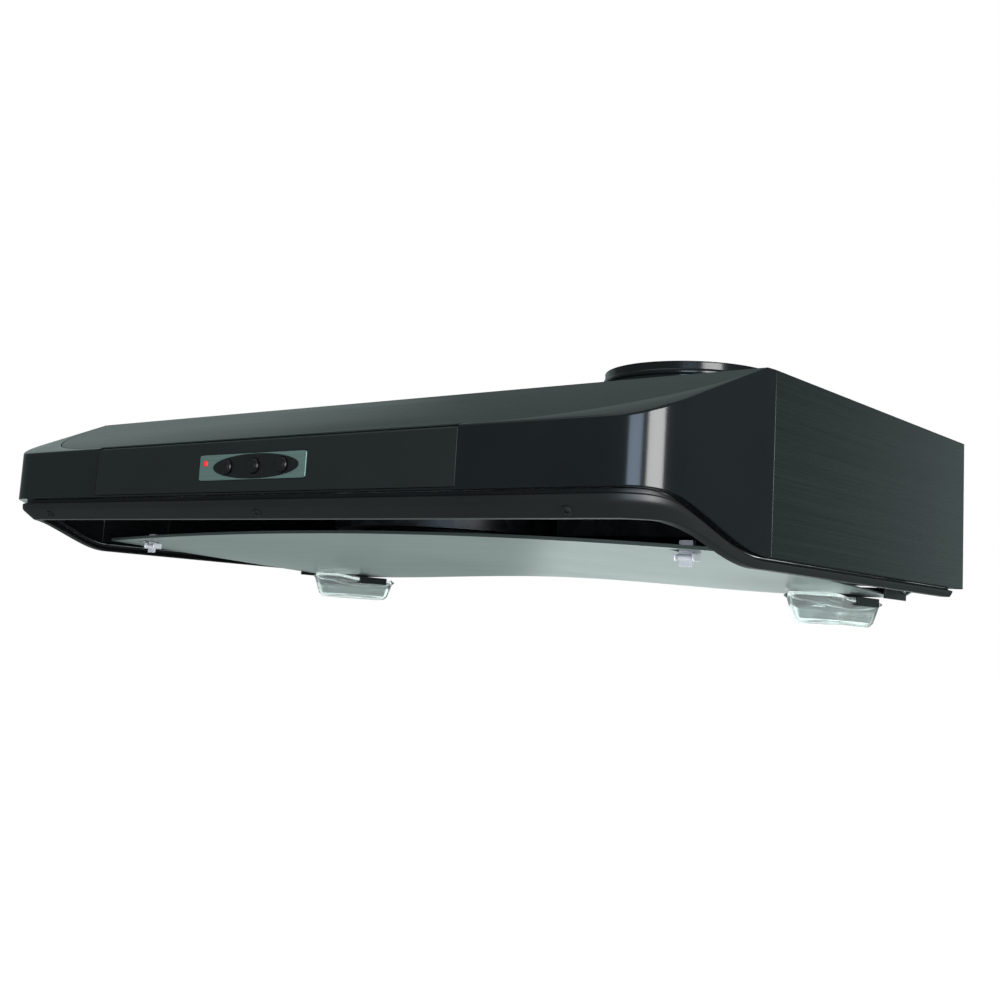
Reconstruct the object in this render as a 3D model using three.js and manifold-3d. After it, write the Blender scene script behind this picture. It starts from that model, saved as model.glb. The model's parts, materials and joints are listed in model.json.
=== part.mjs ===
// Under cabinet range hood, 762 mm wide, built as the assembly that would come apart on a bench.
// Units are millimetres. +Z is up, -Y is the front, +X is the right hand of a person facing the hood.
// The origin is the centre of the flat top that bolts up against the cabinet.
// A single blower sits in the middle and blows through a box to a round duct collar on the right.

import * as THREE from 'three';
import { mergeVertices } from 'three/addons/utils/BufferGeometryUtils.js';
import Module from 'manifold-3d';

const wasm = await Module();
wasm.setup();

// ---- Driving dimensions ----
const hoodWidth = 762;
const hoodHeight = 132;
const hoodDepth = 469; // wall to front face
const topDepth = 355; // the flat top
const sideDepth = 345; // wall to the vertical crease between side panel and wing
const sheet = 1.2;
const gap = 0.3;

const halfWidth = hoodWidth / 2;
const wallY = topDepth / 2;
const topFrontY = wallY - topDepth;
const creaseY = wallY - sideDepth;
const frontY = wallY - hoodDepth;
const bottomZ = -hoodHeight;

// Front fascia: a folded metal band that runs round both rounded corners.
const fasciaTopZ = bottomZ + 84.4;
const fasciaBottomZ = bottomZ + 40.8;
const sideBottomZ = bottomZ + 7.4;
const cornerRadius = 41;
const cornerStartX = 329;
const coverReachX = 374; // half width of the sloping cover where it meets the flat top
const coverCornerX = 230; // where the rounded corner of the cover begins
const coverFrontY = frontY + 5;
const coverCornerY = topFrontY - 4;
const slope = -fasciaTopZ / (topFrontY - frontY);

// Lower rim.
const rimInset = 4;
const rimFrontHeight = 18;
const rimFrontSlant = 12;
const rimSideSlant = 2.5;
const rimLip = 8;
const rimRearY = wallY - 12.5;

// Control panel, plate and buttons.
const panelHalfWidth = 212.3;
const panelTopZ = bottomZ + 82.8;
const panelBottomZ = fasciaBottomZ + 1.8;
const plateHalfWidth = 63.9;
const plateBottomZ = bottomZ + 52.2;
const plateTopZ = bottomZ + 72.9;
const bezelX = 5;
const bezelRadiusX = 51;
const bezelRadiusZ = 9.6;
const buttonPitch = 33;
const buttonRadius = 5.9;
const controlZ = (plateBottomZ + plateTopZ) / 2;
const ledX = -56;
const ledZ = controlZ + 3.5;

// Duct collar and damper.
const collarX = 188;
const collarY = wallY - 130;
const collarRadius = 76; // a six inch duct
const collarTopZ = 48.5;
const damperZ = 12;

// Blower.
const wheelX = -20;
const wheelY = -12.5;
const wheelRadius = 88;
const scrollBottomZ = bottomZ + 32;
const scrollTopZ = scrollBottomZ + 60;
const scrollStartRadius = 98;
const scrollEndRadius = 135;
const scrollMouthX = 126;
const scrollTongueY = 62;

// Collector pan, its hinge and its latches.
const panHalfWidth = 347;
const panFrontY = wallY - 356;
const gutterY = wallY - 58;
const backFoldDepth = 7.2;
const panRearY = wallY - 18;
const panRearRise = 9;
const panFrontRise = 20;
const hingeY = wallY - 53.5;
const hingeZ = bottomZ + 1.5;
const latchX = 310;
const latchY = panFrontY + 24;
const latchZ = bottomZ + 7.6;
const latchTipY = latchY + 3.6;
const ledgeTopZ = bottomZ + 17.6;
const cupX = 292.5;
const cupFrontY = wallY - 103;
const cupRearY = wallY - 12;
const cupTopZ = bottomZ - 6.2;
const cupBottomZ = bottomZ - 30;
const lampX = 180;

// ---- Finishes ----
const finish = {
  blackPaint: { color: 0x101112, roughness: 0.3, metalness: 0.2 },
  blackSatin: { color: 0x141516, roughness: 0.55, metalness: 0.1 },
  blackPlastic: { color: 0x161718, roughness: 0.6, metalness: 0 },
  zinc: { color: 0x8d9093, roughness: 0.45, metalness: 0.9 },
  stainless: { color: 0xa9adab, roughness: 0.32, metalness: 1 },
  chrome: { color: 0xd6d8da, roughness: 0.08, metalness: 1 },
  aluminium: { color: 0x9ea1a4, roughness: 0.4, metalness: 0.9 },
  clearPlastic: { color: 0xbfc6c4, roughness: 0.1, metalness: 0 },
  glass: { color: 0xd9e0e0, roughness: 0.05, metalness: 0 },
  redPlastic: { color: 0x9c1216, roughness: 0.25, metalness: 0 },
  greenBoard: { color: 0x1f5a33, roughness: 0.5, metalness: 0 },
  motorSteel: { color: 0x5c6063, roughness: 0.5, metalness: 0.7 },
  brownFilm: { color: 0x54443a, roughness: 0.5, metalness: 0 },
};

// ---- Geometry helpers ----
const group = new THREE.Group();

function addPart(name, geometry, look) {
  const mesh = new THREE.Mesh(geometry, new THREE.MeshStandardMaterial(look));
  mesh.name = name;
  group.add(mesh);
  return mesh;
}

function toSolid(geometry) {
  const bare = geometry.clone();
  bare.deleteAttribute('normal');
  bare.deleteAttribute('uv');
  const merged = mergeVertices(bare, 1e-4);
  const vertProperties = new Float32Array(merged.attributes.position.array);
  const triVerts = new Uint32Array(merged.index.array);
  return new wasm.Manifold(new wasm.Mesh({ numProp: 3, vertProperties, triVerts }));
}

function toGeometry(solid) {
  const mesh = solid.getMesh();
  const geometry = new THREE.BufferGeometry();
  geometry.setAttribute('position', new THREE.BufferAttribute(mesh.vertProperties, 3));
  geometry.setIndex(new THREE.BufferAttribute(mesh.triVerts, 1));
  return geometry;
}

function joined(...geometries) {
  return toGeometry(geometries.map(toSolid).reduce((sum, next) => sum.add(next)));
}

function cut(geometry, ...tools) {
  return toGeometry(tools.reduce((rest, tool) => rest.subtract(toSolid(tool)), toSolid(geometry)));
}

function block(x0, x1, y0, y1, z0, z1) {
  const box = new THREE.BoxGeometry(x1 - x0, y1 - y0, z1 - z0);
  return box.translate((x0 + x1) / 2, (y0 + y1) / 2, (z0 + z1) / 2);
}

// A rod standing on z0, with its axis along Z.
function rod(radius, x, y, z0, z1, sides = 32) {
  const cylinder = new THREE.CylinderGeometry(radius, radius, z1 - z0, sides);
  return cylinder.rotateX(Math.PI / 2).translate(x, y, (z0 + z1) / 2);
}

// A rod along Y, and one along X.
function rodAlongY(radius, x, z, y0, y1, sides = 24) {
  return new THREE.CylinderGeometry(radius, radius, y1 - y0, sides).translate(x, (y0 + y1) / 2, z);
}

function rodAlongX(radius, y, z, x0, x1, sides = 24) {
  const cylinder = new THREE.CylinderGeometry(radius, radius, x1 - x0, sides);
  return cylinder.rotateZ(Math.PI / 2).translate((x0 + x1) / 2, y, z);
}

// A turned piece: the profile is [radius, z] pairs, about a vertical axis through x, y.
function turned(profile, x, y, sides = 48) {
  const points = profile.map(([radius, z]) => new THREE.Vector2(radius, z));
  return new THREE.LatheGeometry(points, sides).rotateX(Math.PI / 2).translate(x, y, 0);
}

// An outline of [x, y] pairs raised from z0 to z1.
function raised(outline, z0, z1) {
  const shape = new THREE.Shape(outline.map(([x, y]) => new THREE.Vector2(x, y)));
  return new THREE.ExtrudeGeometry(shape, { depth: z1 - z0, bevelEnabled: false }).translate(0, 0, z0);
}

// An outline of [y, z] pairs drawn out along X from x0 to x1.
function drawnAlongX(outline, x0, x1) {
  const shape = new THREE.Shape(outline.map(([y, z]) => new THREE.Vector2(y, z)));
  const body = new THREE.ExtrudeGeometry(shape, { depth: x1 - x0, bevelEnabled: false });
  const axes = new THREE.Matrix4().makeBasis(
    new THREE.Vector3(0, 1, 0), new THREE.Vector3(0, 0, 1), new THREE.Vector3(1, 0, 0));
  return body.applyMatrix4(axes).translate(x0, 0, 0);
}

// A closed skin through a row of rings that all have the same number of points.
function loft(rings) {
  const count = rings[0].length;
  const positions = rings.flat().flat();
  const faces = [];
  for (let row = 0; row + 1 < rings.length; row += 1) {
    for (let k = 0; k < count; k += 1) {
      const a = row * count + k;
      const b = row * count + (k + 1) % count;
      faces.push(a, b, b + count, a, b + count, a + count);
    }
  }
  const last = (rings.length - 1) * count;
  const capFaces = THREE.ShapeUtils.triangulateShape(flattened(rings[0]), []);
  capFaces.forEach(([a, b, c]) => faces.push(a, c, b));
  const endFaces = THREE.ShapeUtils.triangulateShape(flattened(rings[rings.length - 1]), []);
  endFaces.forEach(([a, b, c]) => faces.push(last + a, last + b, last + c));
  const geometry = new THREE.BufferGeometry();
  geometry.setAttribute('position', new THREE.Float32BufferAttribute(positions, 3));
  geometry.setIndex(faces);
  return facingOut(geometry);
}

// The ring seen in its own plane, as the triangulation of a cap needs it.
function flattened(ring) {
  const points = ring.map((p) => new THREE.Vector3(...p));
  const normal = new THREE.Vector3();
  points.forEach((p, k) => normal.add(p.clone().cross(points[(k + 1) % points.length])));
  normal.normalize();
  const side = new THREE.Vector3(0, 0, 1);
  if (Math.abs(normal.z) > 0.9) side.set(1, 0, 0);
  side.cross(normal).normalize();
  const up = normal.clone().cross(side);
  return points.map((p) => new THREE.Vector2(p.dot(side), p.dot(up)));
}

function facingOut(geometry) {
  const points = geometry.attributes.position;
  const index = geometry.index.array;
  const a = new THREE.Vector3();
  const b = new THREE.Vector3();
  const c = new THREE.Vector3();
  let volume = 0;
  for (let k = 0; k < index.length; k += 3) {
    a.fromBufferAttribute(points, index[k]);
    b.fromBufferAttribute(points, index[k + 1]);
    c.fromBufferAttribute(points, index[k + 2]);
    volume += a.dot(b.cross(c));
  }
  if (volume < 0) {
    for (let k = 0; k < index.length; k += 3) {
      [index[k + 1], index[k + 2]] = [index[k + 2], index[k + 1]];
    }
  }
  return geometry;
}

function smoothStep(value, start, end) {
  const t = Math.min(1, Math.max(0, (value - start) / (end - start)));
  return t * t * (3 - 2 * t);
}

const steps = (count) => Array.from({ length: count + 1 }, (unused, k) => k / count);
const sides = [['left', -1], ['right', 1]];

// ---- Outline of the front, in plan ----
function slopeZ(y) {
  return Math.min(0, fasciaTopZ + (y - frontY) * slope);
}

function fasciaBottom(y) {
  return fasciaBottomZ - (fasciaBottomZ - sideBottomZ) * smoothStep(y, creaseY - 118, creaseY + 1);
}

function rimBottom(y) {
  const front = fasciaBottomZ - rimFrontHeight;
  return front - (front - bottomZ) * smoothStep(y, creaseY - 99, creaseY - 2);
}

function rimSlant(y) {
  return rimFrontSlant - (rimFrontSlant - rimSideSlant) * smoothStep(y, creaseY - 118, creaseY - 60);
}

// Right half of the plan outline from the cover's corner to the crease, as points with their normals.
function wingPath() {
  const centre = [cornerStartX, frontY + cornerRadius];
  const far = Math.hypot(halfWidth - centre[0], creaseY - centre[1]);
  const toCrease = Math.atan2(creaseY - centre[1], halfWidth - centre[0]);
  const endAngle = toCrease - Math.acos(cornerRadius / far);
  const start = -Math.PI / 2;
  const path = steps(6).map((t) => [coverCornerX + (cornerStartX - 8 - coverCornerX) * t, frontY, 0, -1]);
  steps(10).forEach((t) => {
    const angle = start + (endAngle - start) * t;
    const nx = Math.cos(angle);
    const ny = Math.sin(angle);
    path.push([centre[0] + cornerRadius * nx, centre[1] + cornerRadius * ny, nx, ny]);
  });
  const [x0, y0, nx, ny] = path[path.length - 1];
  steps(12).slice(1).forEach((t) => {
    path.push([x0 + (halfWidth - x0) * t, y0 + (creaseY - gap - y0) * t, nx, ny]);
  });
  return path;
}

function mirroredPath(half) {
  const left = half.map(([x, y, nx, ny]) => [-x, y, -nx, ny]).reverse();
  return [...left, ...half];
}

// Plan outline of the sloping cover's rounded corner.
function coverCorner(t) {
  const angle = t * Math.PI / 2;
  const x = coverCornerX + (coverReachX - coverCornerX) * Math.sin(angle);
  const y = coverCornerY - (coverCornerY - coverFrontY) * Math.cos(angle);
  return [x, y];
}

// ---- Housing ----
function housingShell() {
  const inner = halfWidth - sheet - gap;
  const narrow = inner - 3;
  const topPlate = raised([
    [-inner, wallY], [-inner, creaseY + 3], [-narrow, creaseY], [-narrow, topFrontY + gap],
    [narrow, topFrontY + gap], [narrow, creaseY], [inner, creaseY + 3], [inner, wallY],
  ].reverse(), -sheet, 0);
  const backPlate = block(-inner, inner, wallY - sheet, wallY, sideBottomZ, 0);
  const backFold = block(-inner, inner, wallY - backFoldDepth, wallY, sideBottomZ, sideBottomZ + sheet);
  const holes = [rod(collarRadius - 2, collarX, collarY, -5, 5, 48), rod(9, -300, 120, -5, 5)];
  [[-240, -110], [240, -110], [-240, 150], [240, 150]].forEach(([x, y]) => {
    holes.push(rod(5, x, y, -5, 5, 20));
    holes.push(block(x - 2.2, x + 2.2, y - 14, y, -5, 5));
  });
  return cut(joined(topPlate, backPlate, backFold), ...holes);
}

function sidePanel(sign) {
  const outer = halfWidth;
  const plate = block(outer - sheet, outer, creaseY, wallY, sideBottomZ, 0);
  const fold = block(outer - 13, outer, creaseY + 3, wallY - 16, sideBottomZ, sideBottomZ + sheet);
  const panel = joined(plate, fold);
  return sign > 0 ? panel : toGeometry(toSolid(panel).mirror([1, 0, 0]));
}

function slopingCover() {
  const corner = steps(16).map(coverCorner);
  const outline = [...corner, [coverReachX, topFrontY - gap]];
  const whole = [...outline.map(([x, y]) => [-x, y]).reverse(), ...outline];
  const ring = (drop) => whole.map(([x, y]) => [x, y, slopeZ(y) - drop]);
  return loft([ring(sheet), ring(0)]);
}

function fasciaRing([x, y, nx, ny], cover, bottom) {
  const inner = [x - nx * sheet, y - ny * sheet];
  const reach = rimInset + 6;
  const lip = [x - nx * reach, y - ny * reach];
  const top = slopeZ(y);
  return [
    [x, y, bottom], [x, y, top],
    [cover[0], cover[1], slopeZ(cover[1])], [cover[0], cover[1], slopeZ(cover[1]) - sheet],
    [inner[0], inner[1], top - sheet * 1.3], [inner[0], inner[1], bottom + sheet],
    [lip[0], lip[1], bottom + sheet], [lip[0], lip[1], bottom],
  ];
}

function frontFascia() {
  const half = wingPath();
  const flangeEndY = topFrontY - 1.5;
  const withFlange = half.filter(([, y]) => y < flangeEndY);
  const lengths = [0];
  withFlange.slice(1).forEach(([x, y], k) => {
    lengths.push(lengths[k] + Math.hypot(x - withFlange[k][0], y - withFlange[k][1]));
  });
  const rings = half.map((station, k) => {
    const [x, y, nx, ny] = station;
    if (y >= flangeEndY) {
      return fasciaRing(station, [x - nx * sheet * 1.05, y - ny * sheet * 1.05], fasciaBottom(y));
    }
    const [cx, cy] = coverCorner(lengths[k] / lengths[withFlange.length - 1]);
    const [ox, oy] = [x - cx, y - cy];
    const away = 0.8 / Math.hypot(ox, oy);
    return fasciaRing(station, [cx + ox * away, cy + oy * away], fasciaBottom(y));
  });
  const mirrored = rings.map((ring) => ring.map(([x, y, z]) => [-x, y, z])).reverse();
  const band = loft([...mirrored, ...rings]);
  const w = panelHalfWidth + gap;
  const window = block(-w, w, frontY - 5, coverFrontY + 5, fasciaBottomZ + 1.5, fasciaTopZ + 8);
  return cut(band, window);
}

// ---- Lower rim: a pressed strip under fascia and sides. From the top: a groove, an upright band, a
// chamfer that leans inwards along the front, and a flat lip ----
function rimRing([x, y, nx, ny]) {
  const top = fasciaBottom(y) - gap;
  const low = rimBottom(y);
  const groove = top - 0.15 * (top - low);
  const fold = top - 0.5 * (top - low);
  const slant = rimSlant(y);
  const point = (reach, z) => [x - nx * (rimInset + reach), y - ny * (rimInset + reach), z];
  return [
    point(4, top), point(4, groove), point(0, groove - 0.8), point(0.5, fold), point(slant, low),
    point(slant + rimLip, low), point(slant + rimLip, low + 1.4), point(slant + 1, low + 1.4),
    point(1.9, fold + 0.3), point(1.4, groove - 2), point(5.2, groove - 1.2), point(5.2, top),
  ];
}

function lowerRim() {
  const half = wingPath();
  [creaseY + 40, creaseY + 150, creaseY + 250, rimRearY].forEach((y) => half.push([halfWidth, y, 1, 0]));
  const rim = loft(mirroredPath(half).map(rimRing));
  const holes = screwPlaces.map(([x]) => rimScrewAxis(rodAlongY(2.2, 0, 0, -6, 6, 12), x));
  return cut(rim, ...holes);
}

const screwPlaces = [[-299, 'left'], [0, 'centre'], [299, 'right']];
const chamferTilt = Math.atan2(rimFrontHeight / 2, rimFrontSlant - 0.5) - Math.PI / 2;

// Turns a piece drawn about Y at the origin so that it stands square on the rim's chamfer.
function rimScrewAxis(geometry, x) {
  const y = frontY + rimInset + rimFrontSlant / 2 + 0.25;
  const z = fasciaBottomZ - gap - 0.75 * rimFrontHeight;
  return geometry.rotateX(-chamferTilt).translate(x, y, z);
}

function rimScrew(x) {
  const profile = [[0, 5], [1.8, 5], [1.8, -0.4], [4, -0.4], [3.6, -1.5], [2, -2.1], [0, -2.2]];
  const points = profile.map(([radius, y]) => new THREE.Vector2(radius, y));
  return rimScrewAxis(facingOutIndexed(new THREE.LatheGeometry(points, 14)), x);
}

// A lathe drawn from its tip downwards is inside out, so its faces are turned.
function facingOutIndexed(geometry) {
  const bare = geometry.clone();
  bare.deleteAttribute('normal');
  bare.deleteAttribute('uv');
  return facingOut(mergeVertices(bare, 1e-4));
}

// ---- Controls ----
function controlPanel() {
  const back = frontY + 4;
  const slab = drawnAlongX([
    [frontY, panelBottomZ], [frontY, panelTopZ], [coverFrontY - gap, panelTopZ + 2],
    [coverFrontY - gap, panelTopZ - 1.5], [back, panelTopZ - 2.5], [back, panelBottomZ],
  ], -panelHalfWidth, panelHalfWidth);
  const recess = block(-plateHalfWidth - gap, plateHalfWidth + gap, frontY - 3, frontY + 1.2,
    plateBottomZ - gap, plateTopZ + gap);
  const holes = buttonPlaces.map(([x]) => rodAlongY(3, x, controlZ, frontY - 5, frontY + 8, 16));
  holes.push(rodAlongY(2.8, ledX, ledZ, frontY - 5, frontY + 8, 16));
  return cut(slab, recess, ...holes);
}

const buttonPlaces = [
  [bezelX - buttonPitch, 'button_light'], [bezelX, 'button_low'], [bezelX + buttonPitch, 'button_high'],
];

// An oval of [x, z] radii, drawn out along Y.
function ovalPlate(radiusX, radiusZ, y0, y1) {
  const oval = new THREE.CylinderGeometry(1, 1, y1 - y0, 48);
  return oval.scale(radiusX, 1, radiusZ).translate(bezelX, (y0 + y1) / 2, controlZ);
}

function labelPlate() {
  const plate = block(-plateHalfWidth, plateHalfWidth, frontY - 0.5, frontY + 0.9, plateBottomZ, plateTopZ);
  const opening = ovalPlate(bezelRadiusX + gap, bezelRadiusZ + gap, frontY - 5, frontY + 5);
  return cut(plate, opening, rodAlongY(2.8, ledX, ledZ, frontY - 5, frontY + 5, 16));
}

function buttonBezel() {
  const oval = ovalPlate(bezelRadiusX, bezelRadiusZ, frontY - 1, frontY + 0.9);
  const holes = buttonPlaces.map(([x]) => rodAlongY(buttonRadius + 0.4, x, controlZ, frontY - 5, frontY + 5));
  return cut(oval, ...holes);
}

// A round cap with a domed face, on a stem that reaches the switch behind the panel.
function pushButton(x) {
  const dome = steps(5).map((t) => [buttonRadius * Math.sin(t * 1.25) / Math.sin(1.25),
    frontY - 3.4 + 2 * (1 - Math.cos(t * 1.25))]);
  const stem = [[2.5, frontY - 0.6], [2.5, frontY + 5.4], [0, frontY + 5.4]];
  const profile = [...dome, [buttonRadius, frontY - 0.6], ...stem];
  const points = profile.map(([radius, y]) => new THREE.Vector2(radius, y));
  return facingOutIndexed(new THREE.LatheGeometry(points, 18)).translate(x, 0, controlZ);
}

function ledLens() {
  const dome = [[0, frontY - 2], [1.6, frontY - 1.6], [2.4, frontY - 0.6]];
  const profile = [...dome, [2.4, frontY + 6.6], [0, frontY + 6.6]];
  const points = profile.map(([radius, y]) => new THREE.Vector2(radius, y));
  return facingOutIndexed(new THREE.LatheGeometry(points, 16)).translate(ledX, 0, ledZ);
}

function switchBoard() {
  const front = frontY + 9;
  const board = block(-66, 70, front, front + 1.6, controlZ - 14, controlZ + 11);
  const switches = buttonPlaces.map(([x]) => {
    return block(x - 3, x + 3, front - 2, front + 0.1, controlZ - 3, controlZ + 3);
  });
  const plug = block(-20, 20, front + 1.5, front + 10, controlZ - 12, controlZ - 4);
  return joined(board, ...switches, plug);
}

// ---- Lamps: a black liner behind the rim carries two round lamps that shine down on the hob ----
const linerZ = bottomZ + 46;

function frontLiner() {
  const y0 = frontY + 27;
  const y1 = topFrontY + 8;
  const sheetMetal = drawnAlongX([
    [y0, linerZ + 8], [y0, linerZ], [y1, linerZ + 3], [y1, linerZ + 22], [y1 - sheet, linerZ + 22],
    [y1 - sheet, linerZ + 3 + sheet], [y0 + sheet, linerZ + sheet], [y0 + sheet, linerZ + 8],
  ], -300, 300);
  const holes = sides.map(([, sign]) => rod(25, sign * lampX, lampY, linerZ - 10, linerZ + 15));
  return cut(sheetMetal, ...holes);
}

const lampY = frontY + 66;

function lampHousing(sign) {
  const top = linerZ + 21;
  const profile = [
    [0, top], [22, top], [24, top - 2], [24, linerZ - 0.8], [29, linerZ - 0.8], [29, linerZ - 2],
    [22.8, linerZ - 2], [22.8, top - 3], [21, top - 1.2], [0, top - 1.2],
  ];
  return facingOutIndexed(turned(profile, sign * lampX, lampY, 24));
}

function lampLens(sign) {
  const face = [[0, linerZ - 1.5], [20, linerZ - 1], [22.4, linerZ + 0.5]];
  const profile = [...face, [22.4, linerZ + 2], [0, linerZ + 1]];
  return facingOutIndexed(turned(profile, sign * lampX, lampY, 24));
}

function lampBulb(sign) {
  const tip = [[0, linerZ + 4.5], [2.8, linerZ + 6], [4.2, linerZ + 9]];
  const profile = [...tip, [4.2, linerZ + 16], [0, linerZ + 19]];
  return facingOutIndexed(turned(profile, sign * lampX, lampY, 16));
}

// ---- Blower ----
// The spiral opens clockwise seen from above, from the tongue round to the outlet at the rear.
function scrollOutline(grow) {
  const tongueAngle = 35;
  const sweep = 305;
  const spiral = steps(30).map((t) => {
    const angle = (tongueAngle - sweep * t) * Math.PI / 180;
    const radius = scrollStartRadius + (scrollEndRadius - scrollStartRadius) * t + grow;
    return [wheelX + radius * Math.cos(angle), wheelY + radius * Math.sin(angle)];
  });
  const mouthX = wheelX + scrollMouthX - Math.min(0, grow) * 4;
  const outlet = [[mouthX, wheelY + scrollEndRadius + grow], [mouthX, wheelY + scrollTongueY - grow]];
  return [...spiral, ...outlet].reverse();
}

function blowerScroll() {
  const outer = raised(scrollOutline(0), scrollBottomZ, scrollTopZ);
  const hollow = raised(scrollOutline(-1.5), scrollBottomZ + 1.5, scrollTopZ - 1.5);
  const inlet = rod(80, wheelX, wheelY, scrollBottomZ - 5, scrollBottomZ + 5, 48);
  const motorHole = rod(12, wheelX, wheelY, scrollTopZ - 5, scrollTopZ + 5, 24);
  return cut(outer, hollow, inlet, motorHole);
}

function inletRing() {
  const z = scrollBottomZ;
  const profile = [
    [92, z - gap], [92, z - 1.8], [80, z - 1.8], [72, z + 0.2], [70, z + 3], [70, z + 4],
    [71.5, z + 4], [73, z + 1.4], [79, z - gap],
  ];
  return facingOutIndexed(turned([...profile, profile[0]], wheelX, wheelY, 36));
}

// The wheel is a plate with a hub, and a ring of blades crimped to it with a hoop round their free ends.
const wheelBottomZ = scrollBottomZ + 6;
const wheelTopZ = scrollTopZ - 6;

function wheelPlate() {
  const z = wheelTopZ;
  const profile = [[0, z - 12], [9, z - 12], [12, z - 3], [wheelRadius, z - 3], [wheelRadius, z], [0, z]];
  const plate = facingOutIndexed(turned(profile, wheelX, wheelY, 32));
  return cut(plate, rod(4.4, wheelX, wheelY, z - 20, z + 5, 16));
}

function wheelBlades() {
  const z = wheelBottomZ;
  const profile = [[wheelRadius, z], [wheelRadius, z + 3], [74, z + 3], [74, z], [wheelRadius, z]];
  const hoop = facingOutIndexed(turned(profile, wheelX, wheelY, 32));
  const bladeCount = 24;
  const blades = steps(bladeCount).slice(1).map((t) => {
    const blade = block(75, 87, -0.6, 0.6, z + 1.5, wheelTopZ - 3 - gap);
    blade.translate(-81, 0, 0).rotateZ(0.5).translate(81, 0, 0);
    return blade.rotateZ(2 * Math.PI * t).translate(wheelX, wheelY, 0);
  });
  return joined(hoop, ...blades);
}

function motorShaft() {
  return rod(4, wheelX, wheelY, scrollTopZ - 22, scrollTopZ + 6, 16);
}

function blowerMotor() {
  const z0 = scrollTopZ + gap;
  const z1 = z0 + 30;
  const profile = [
    [0, z0 + 8], [4.4, z0 + 8], [4.4, z0], [56, z0], [56, z0 + 2], [50, z0 + 2.5],
    [50, z1 - 6], [46, z1 - 1], [16, z1], [14, z1 + 2], [0, z1 + 2],
  ];
  return facingOutIndexed(turned(profile, wheelX, wheelY, 32));
}

function blowerHanger() {
  const legTop = -sheet - gap;
  const strip = block(wheelX - 84, wheelX + 84, wheelY - 14, wheelY + 14, legTop - 2, legTop);
  const legs = [-1, 1].map((sign) => {
    const x = wheelX + sign * 78;
    const leg = block(x - 1, x + 1, wheelY - 14, wheelY + 14, scrollTopZ + gap, legTop - 0.5);
    const foot = block(x - 8, x + 8, wheelY - 14, wheelY + 14, scrollTopZ + gap, scrollTopZ + gap + 2);
    return joined(leg, foot);
  });
  return joined(strip, ...legs);
}

function runCapacitor() {
  const pot = rodAlongX(13, 60, -17, -215, -155, 24);
  const tab = block(-198, -192, 55, 65, -6, -2);
  return joined(pot, tab);
}

// ---- Mains terminal box in the rear left corner ----
const box = { x0: -345, x1: -255, y0: 92, y1: 172, z0: -40 };

function terminalBox() {
  const outer = block(box.x0, box.x1, box.y0, box.y1, box.z0, -sheet - gap);
  const hollow = block(box.x0 + 1.2, box.x1 - 1.2, box.y0 + 1.2, box.y1 - 1.2, box.z0 - 5, -3);
  return cut(outer, hollow, rod(9, -300, 120, -10, 5, 24));
}

function terminalCover() {
  const lid = block(box.x0, box.x1, box.y0, box.y1, box.z0 - gap - 1.2, box.z0 - gap);
  return cut(lid, rod(2, box.x0 + 45, box.y0 + 8, box.z0 - 5, box.z0 + 5, 12));
}

function cableGland() {
  const profile = [[6, -6], [8.4, -6], [8.4, gap], [13, gap], [13, 2.5], [9, 5], [6, 5]];
  return facingOutIndexed(turned([...profile, profile[0]], -300, 120, 18));
}

// ---- Outlet box, duct collar and damper ----
function outletBox() {
  const x0 = wheelX + scrollMouthX + gap;
  const x1 = 272;
  const y0 = collarY - 78;
  const y1 = collarY + 78;
  const top = -sheet - gap;
  const outer = block(x0, x1, y0, y1, scrollBottomZ, top);
  const hollow = block(x0 + 1.2, x1 - 1.2, y0 + 1.2, y1 - 1.2, scrollBottomZ + 1.2, top - 1.2);
  const mouth = block(x0 - 5, x0 + 5, wheelY + scrollTongueY + 2, wheelY + scrollEndRadius - 2,
    scrollBottomZ + 2, scrollTopZ - 2);
  return cut(outer, hollow, mouth, rod(collarRadius - 3, collarX, collarY, top - 5, top + 5, 48));
}

function ductCollar() {
  const outer = collarRadius;
  const inner = collarRadius - 1.2;
  const profile = [
    [inner, gap], [outer + 8, gap], [outer + 8, gap + sheet], [outer + 0.8, gap + sheet],
    [outer, gap + 2.4], [outer, collarTopZ - 2], [outer + 0.5, collarTopZ - 0.6],
    [outer, collarTopZ], [inner, collarTopZ],
  ];
  const tube = facingOutIndexed(turned([...profile, profile[0]], collarX, collarY, 56));
  return cut(tube, rodAlongY(1.9, collarX, damperZ, collarY - 90, collarY + 90, 12));
}

function damperPin() {
  return rodAlongY(1.5, collarX, damperZ, collarY - 78, collarY + 78, 12);
}

// Two half discs on the same pin, each with its own knuckles.
function damperFlap(sign) {
  const radius = collarRadius - 4;
  const disc = rod(radius, collarX, collarY, damperZ - 0.5, damperZ + 0.5, 48);
  const away = sign > 0 ? [collarX - 90, collarX + 2.3] : [collarX - 2.3, collarX + 90];
  const other = block(away[0], away[1], collarY - 90, collarY + 90, damperZ - 5, damperZ + 5);
  const starts = [-44, 16].map((start) => collarY + start);
  const mine = starts.map((start) => start + (sign > 0 ? 0 : 14));
  const theirs = starts.map((start) => start + (sign > 0 ? 14 : 0));
  const notches = theirs.map((y0) => {
    return block(collarX - 5, collarX + 5, y0 - 0.5, y0 + 13.5, damperZ - 5, damperZ + 5);
  });
  const half = cut(disc, other, ...notches);
  const knuckles = mine.map((y0) => {
    const tube = cut(rodAlongY(2.9, collarX, damperZ, y0, y0 + 13, 16),
      rodAlongY(1.8, collarX, damperZ, y0 - 1, y0 + 14, 12));
    const x0 = sign > 0 ? collarX + 1.9 : collarX - 4;
    return joined(tube, block(x0, x0 + 2.1, y0, y0 + 13, damperZ - 0.5, damperZ + 0.5));
  });
  return joined(half, ...knuckles);
}

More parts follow.
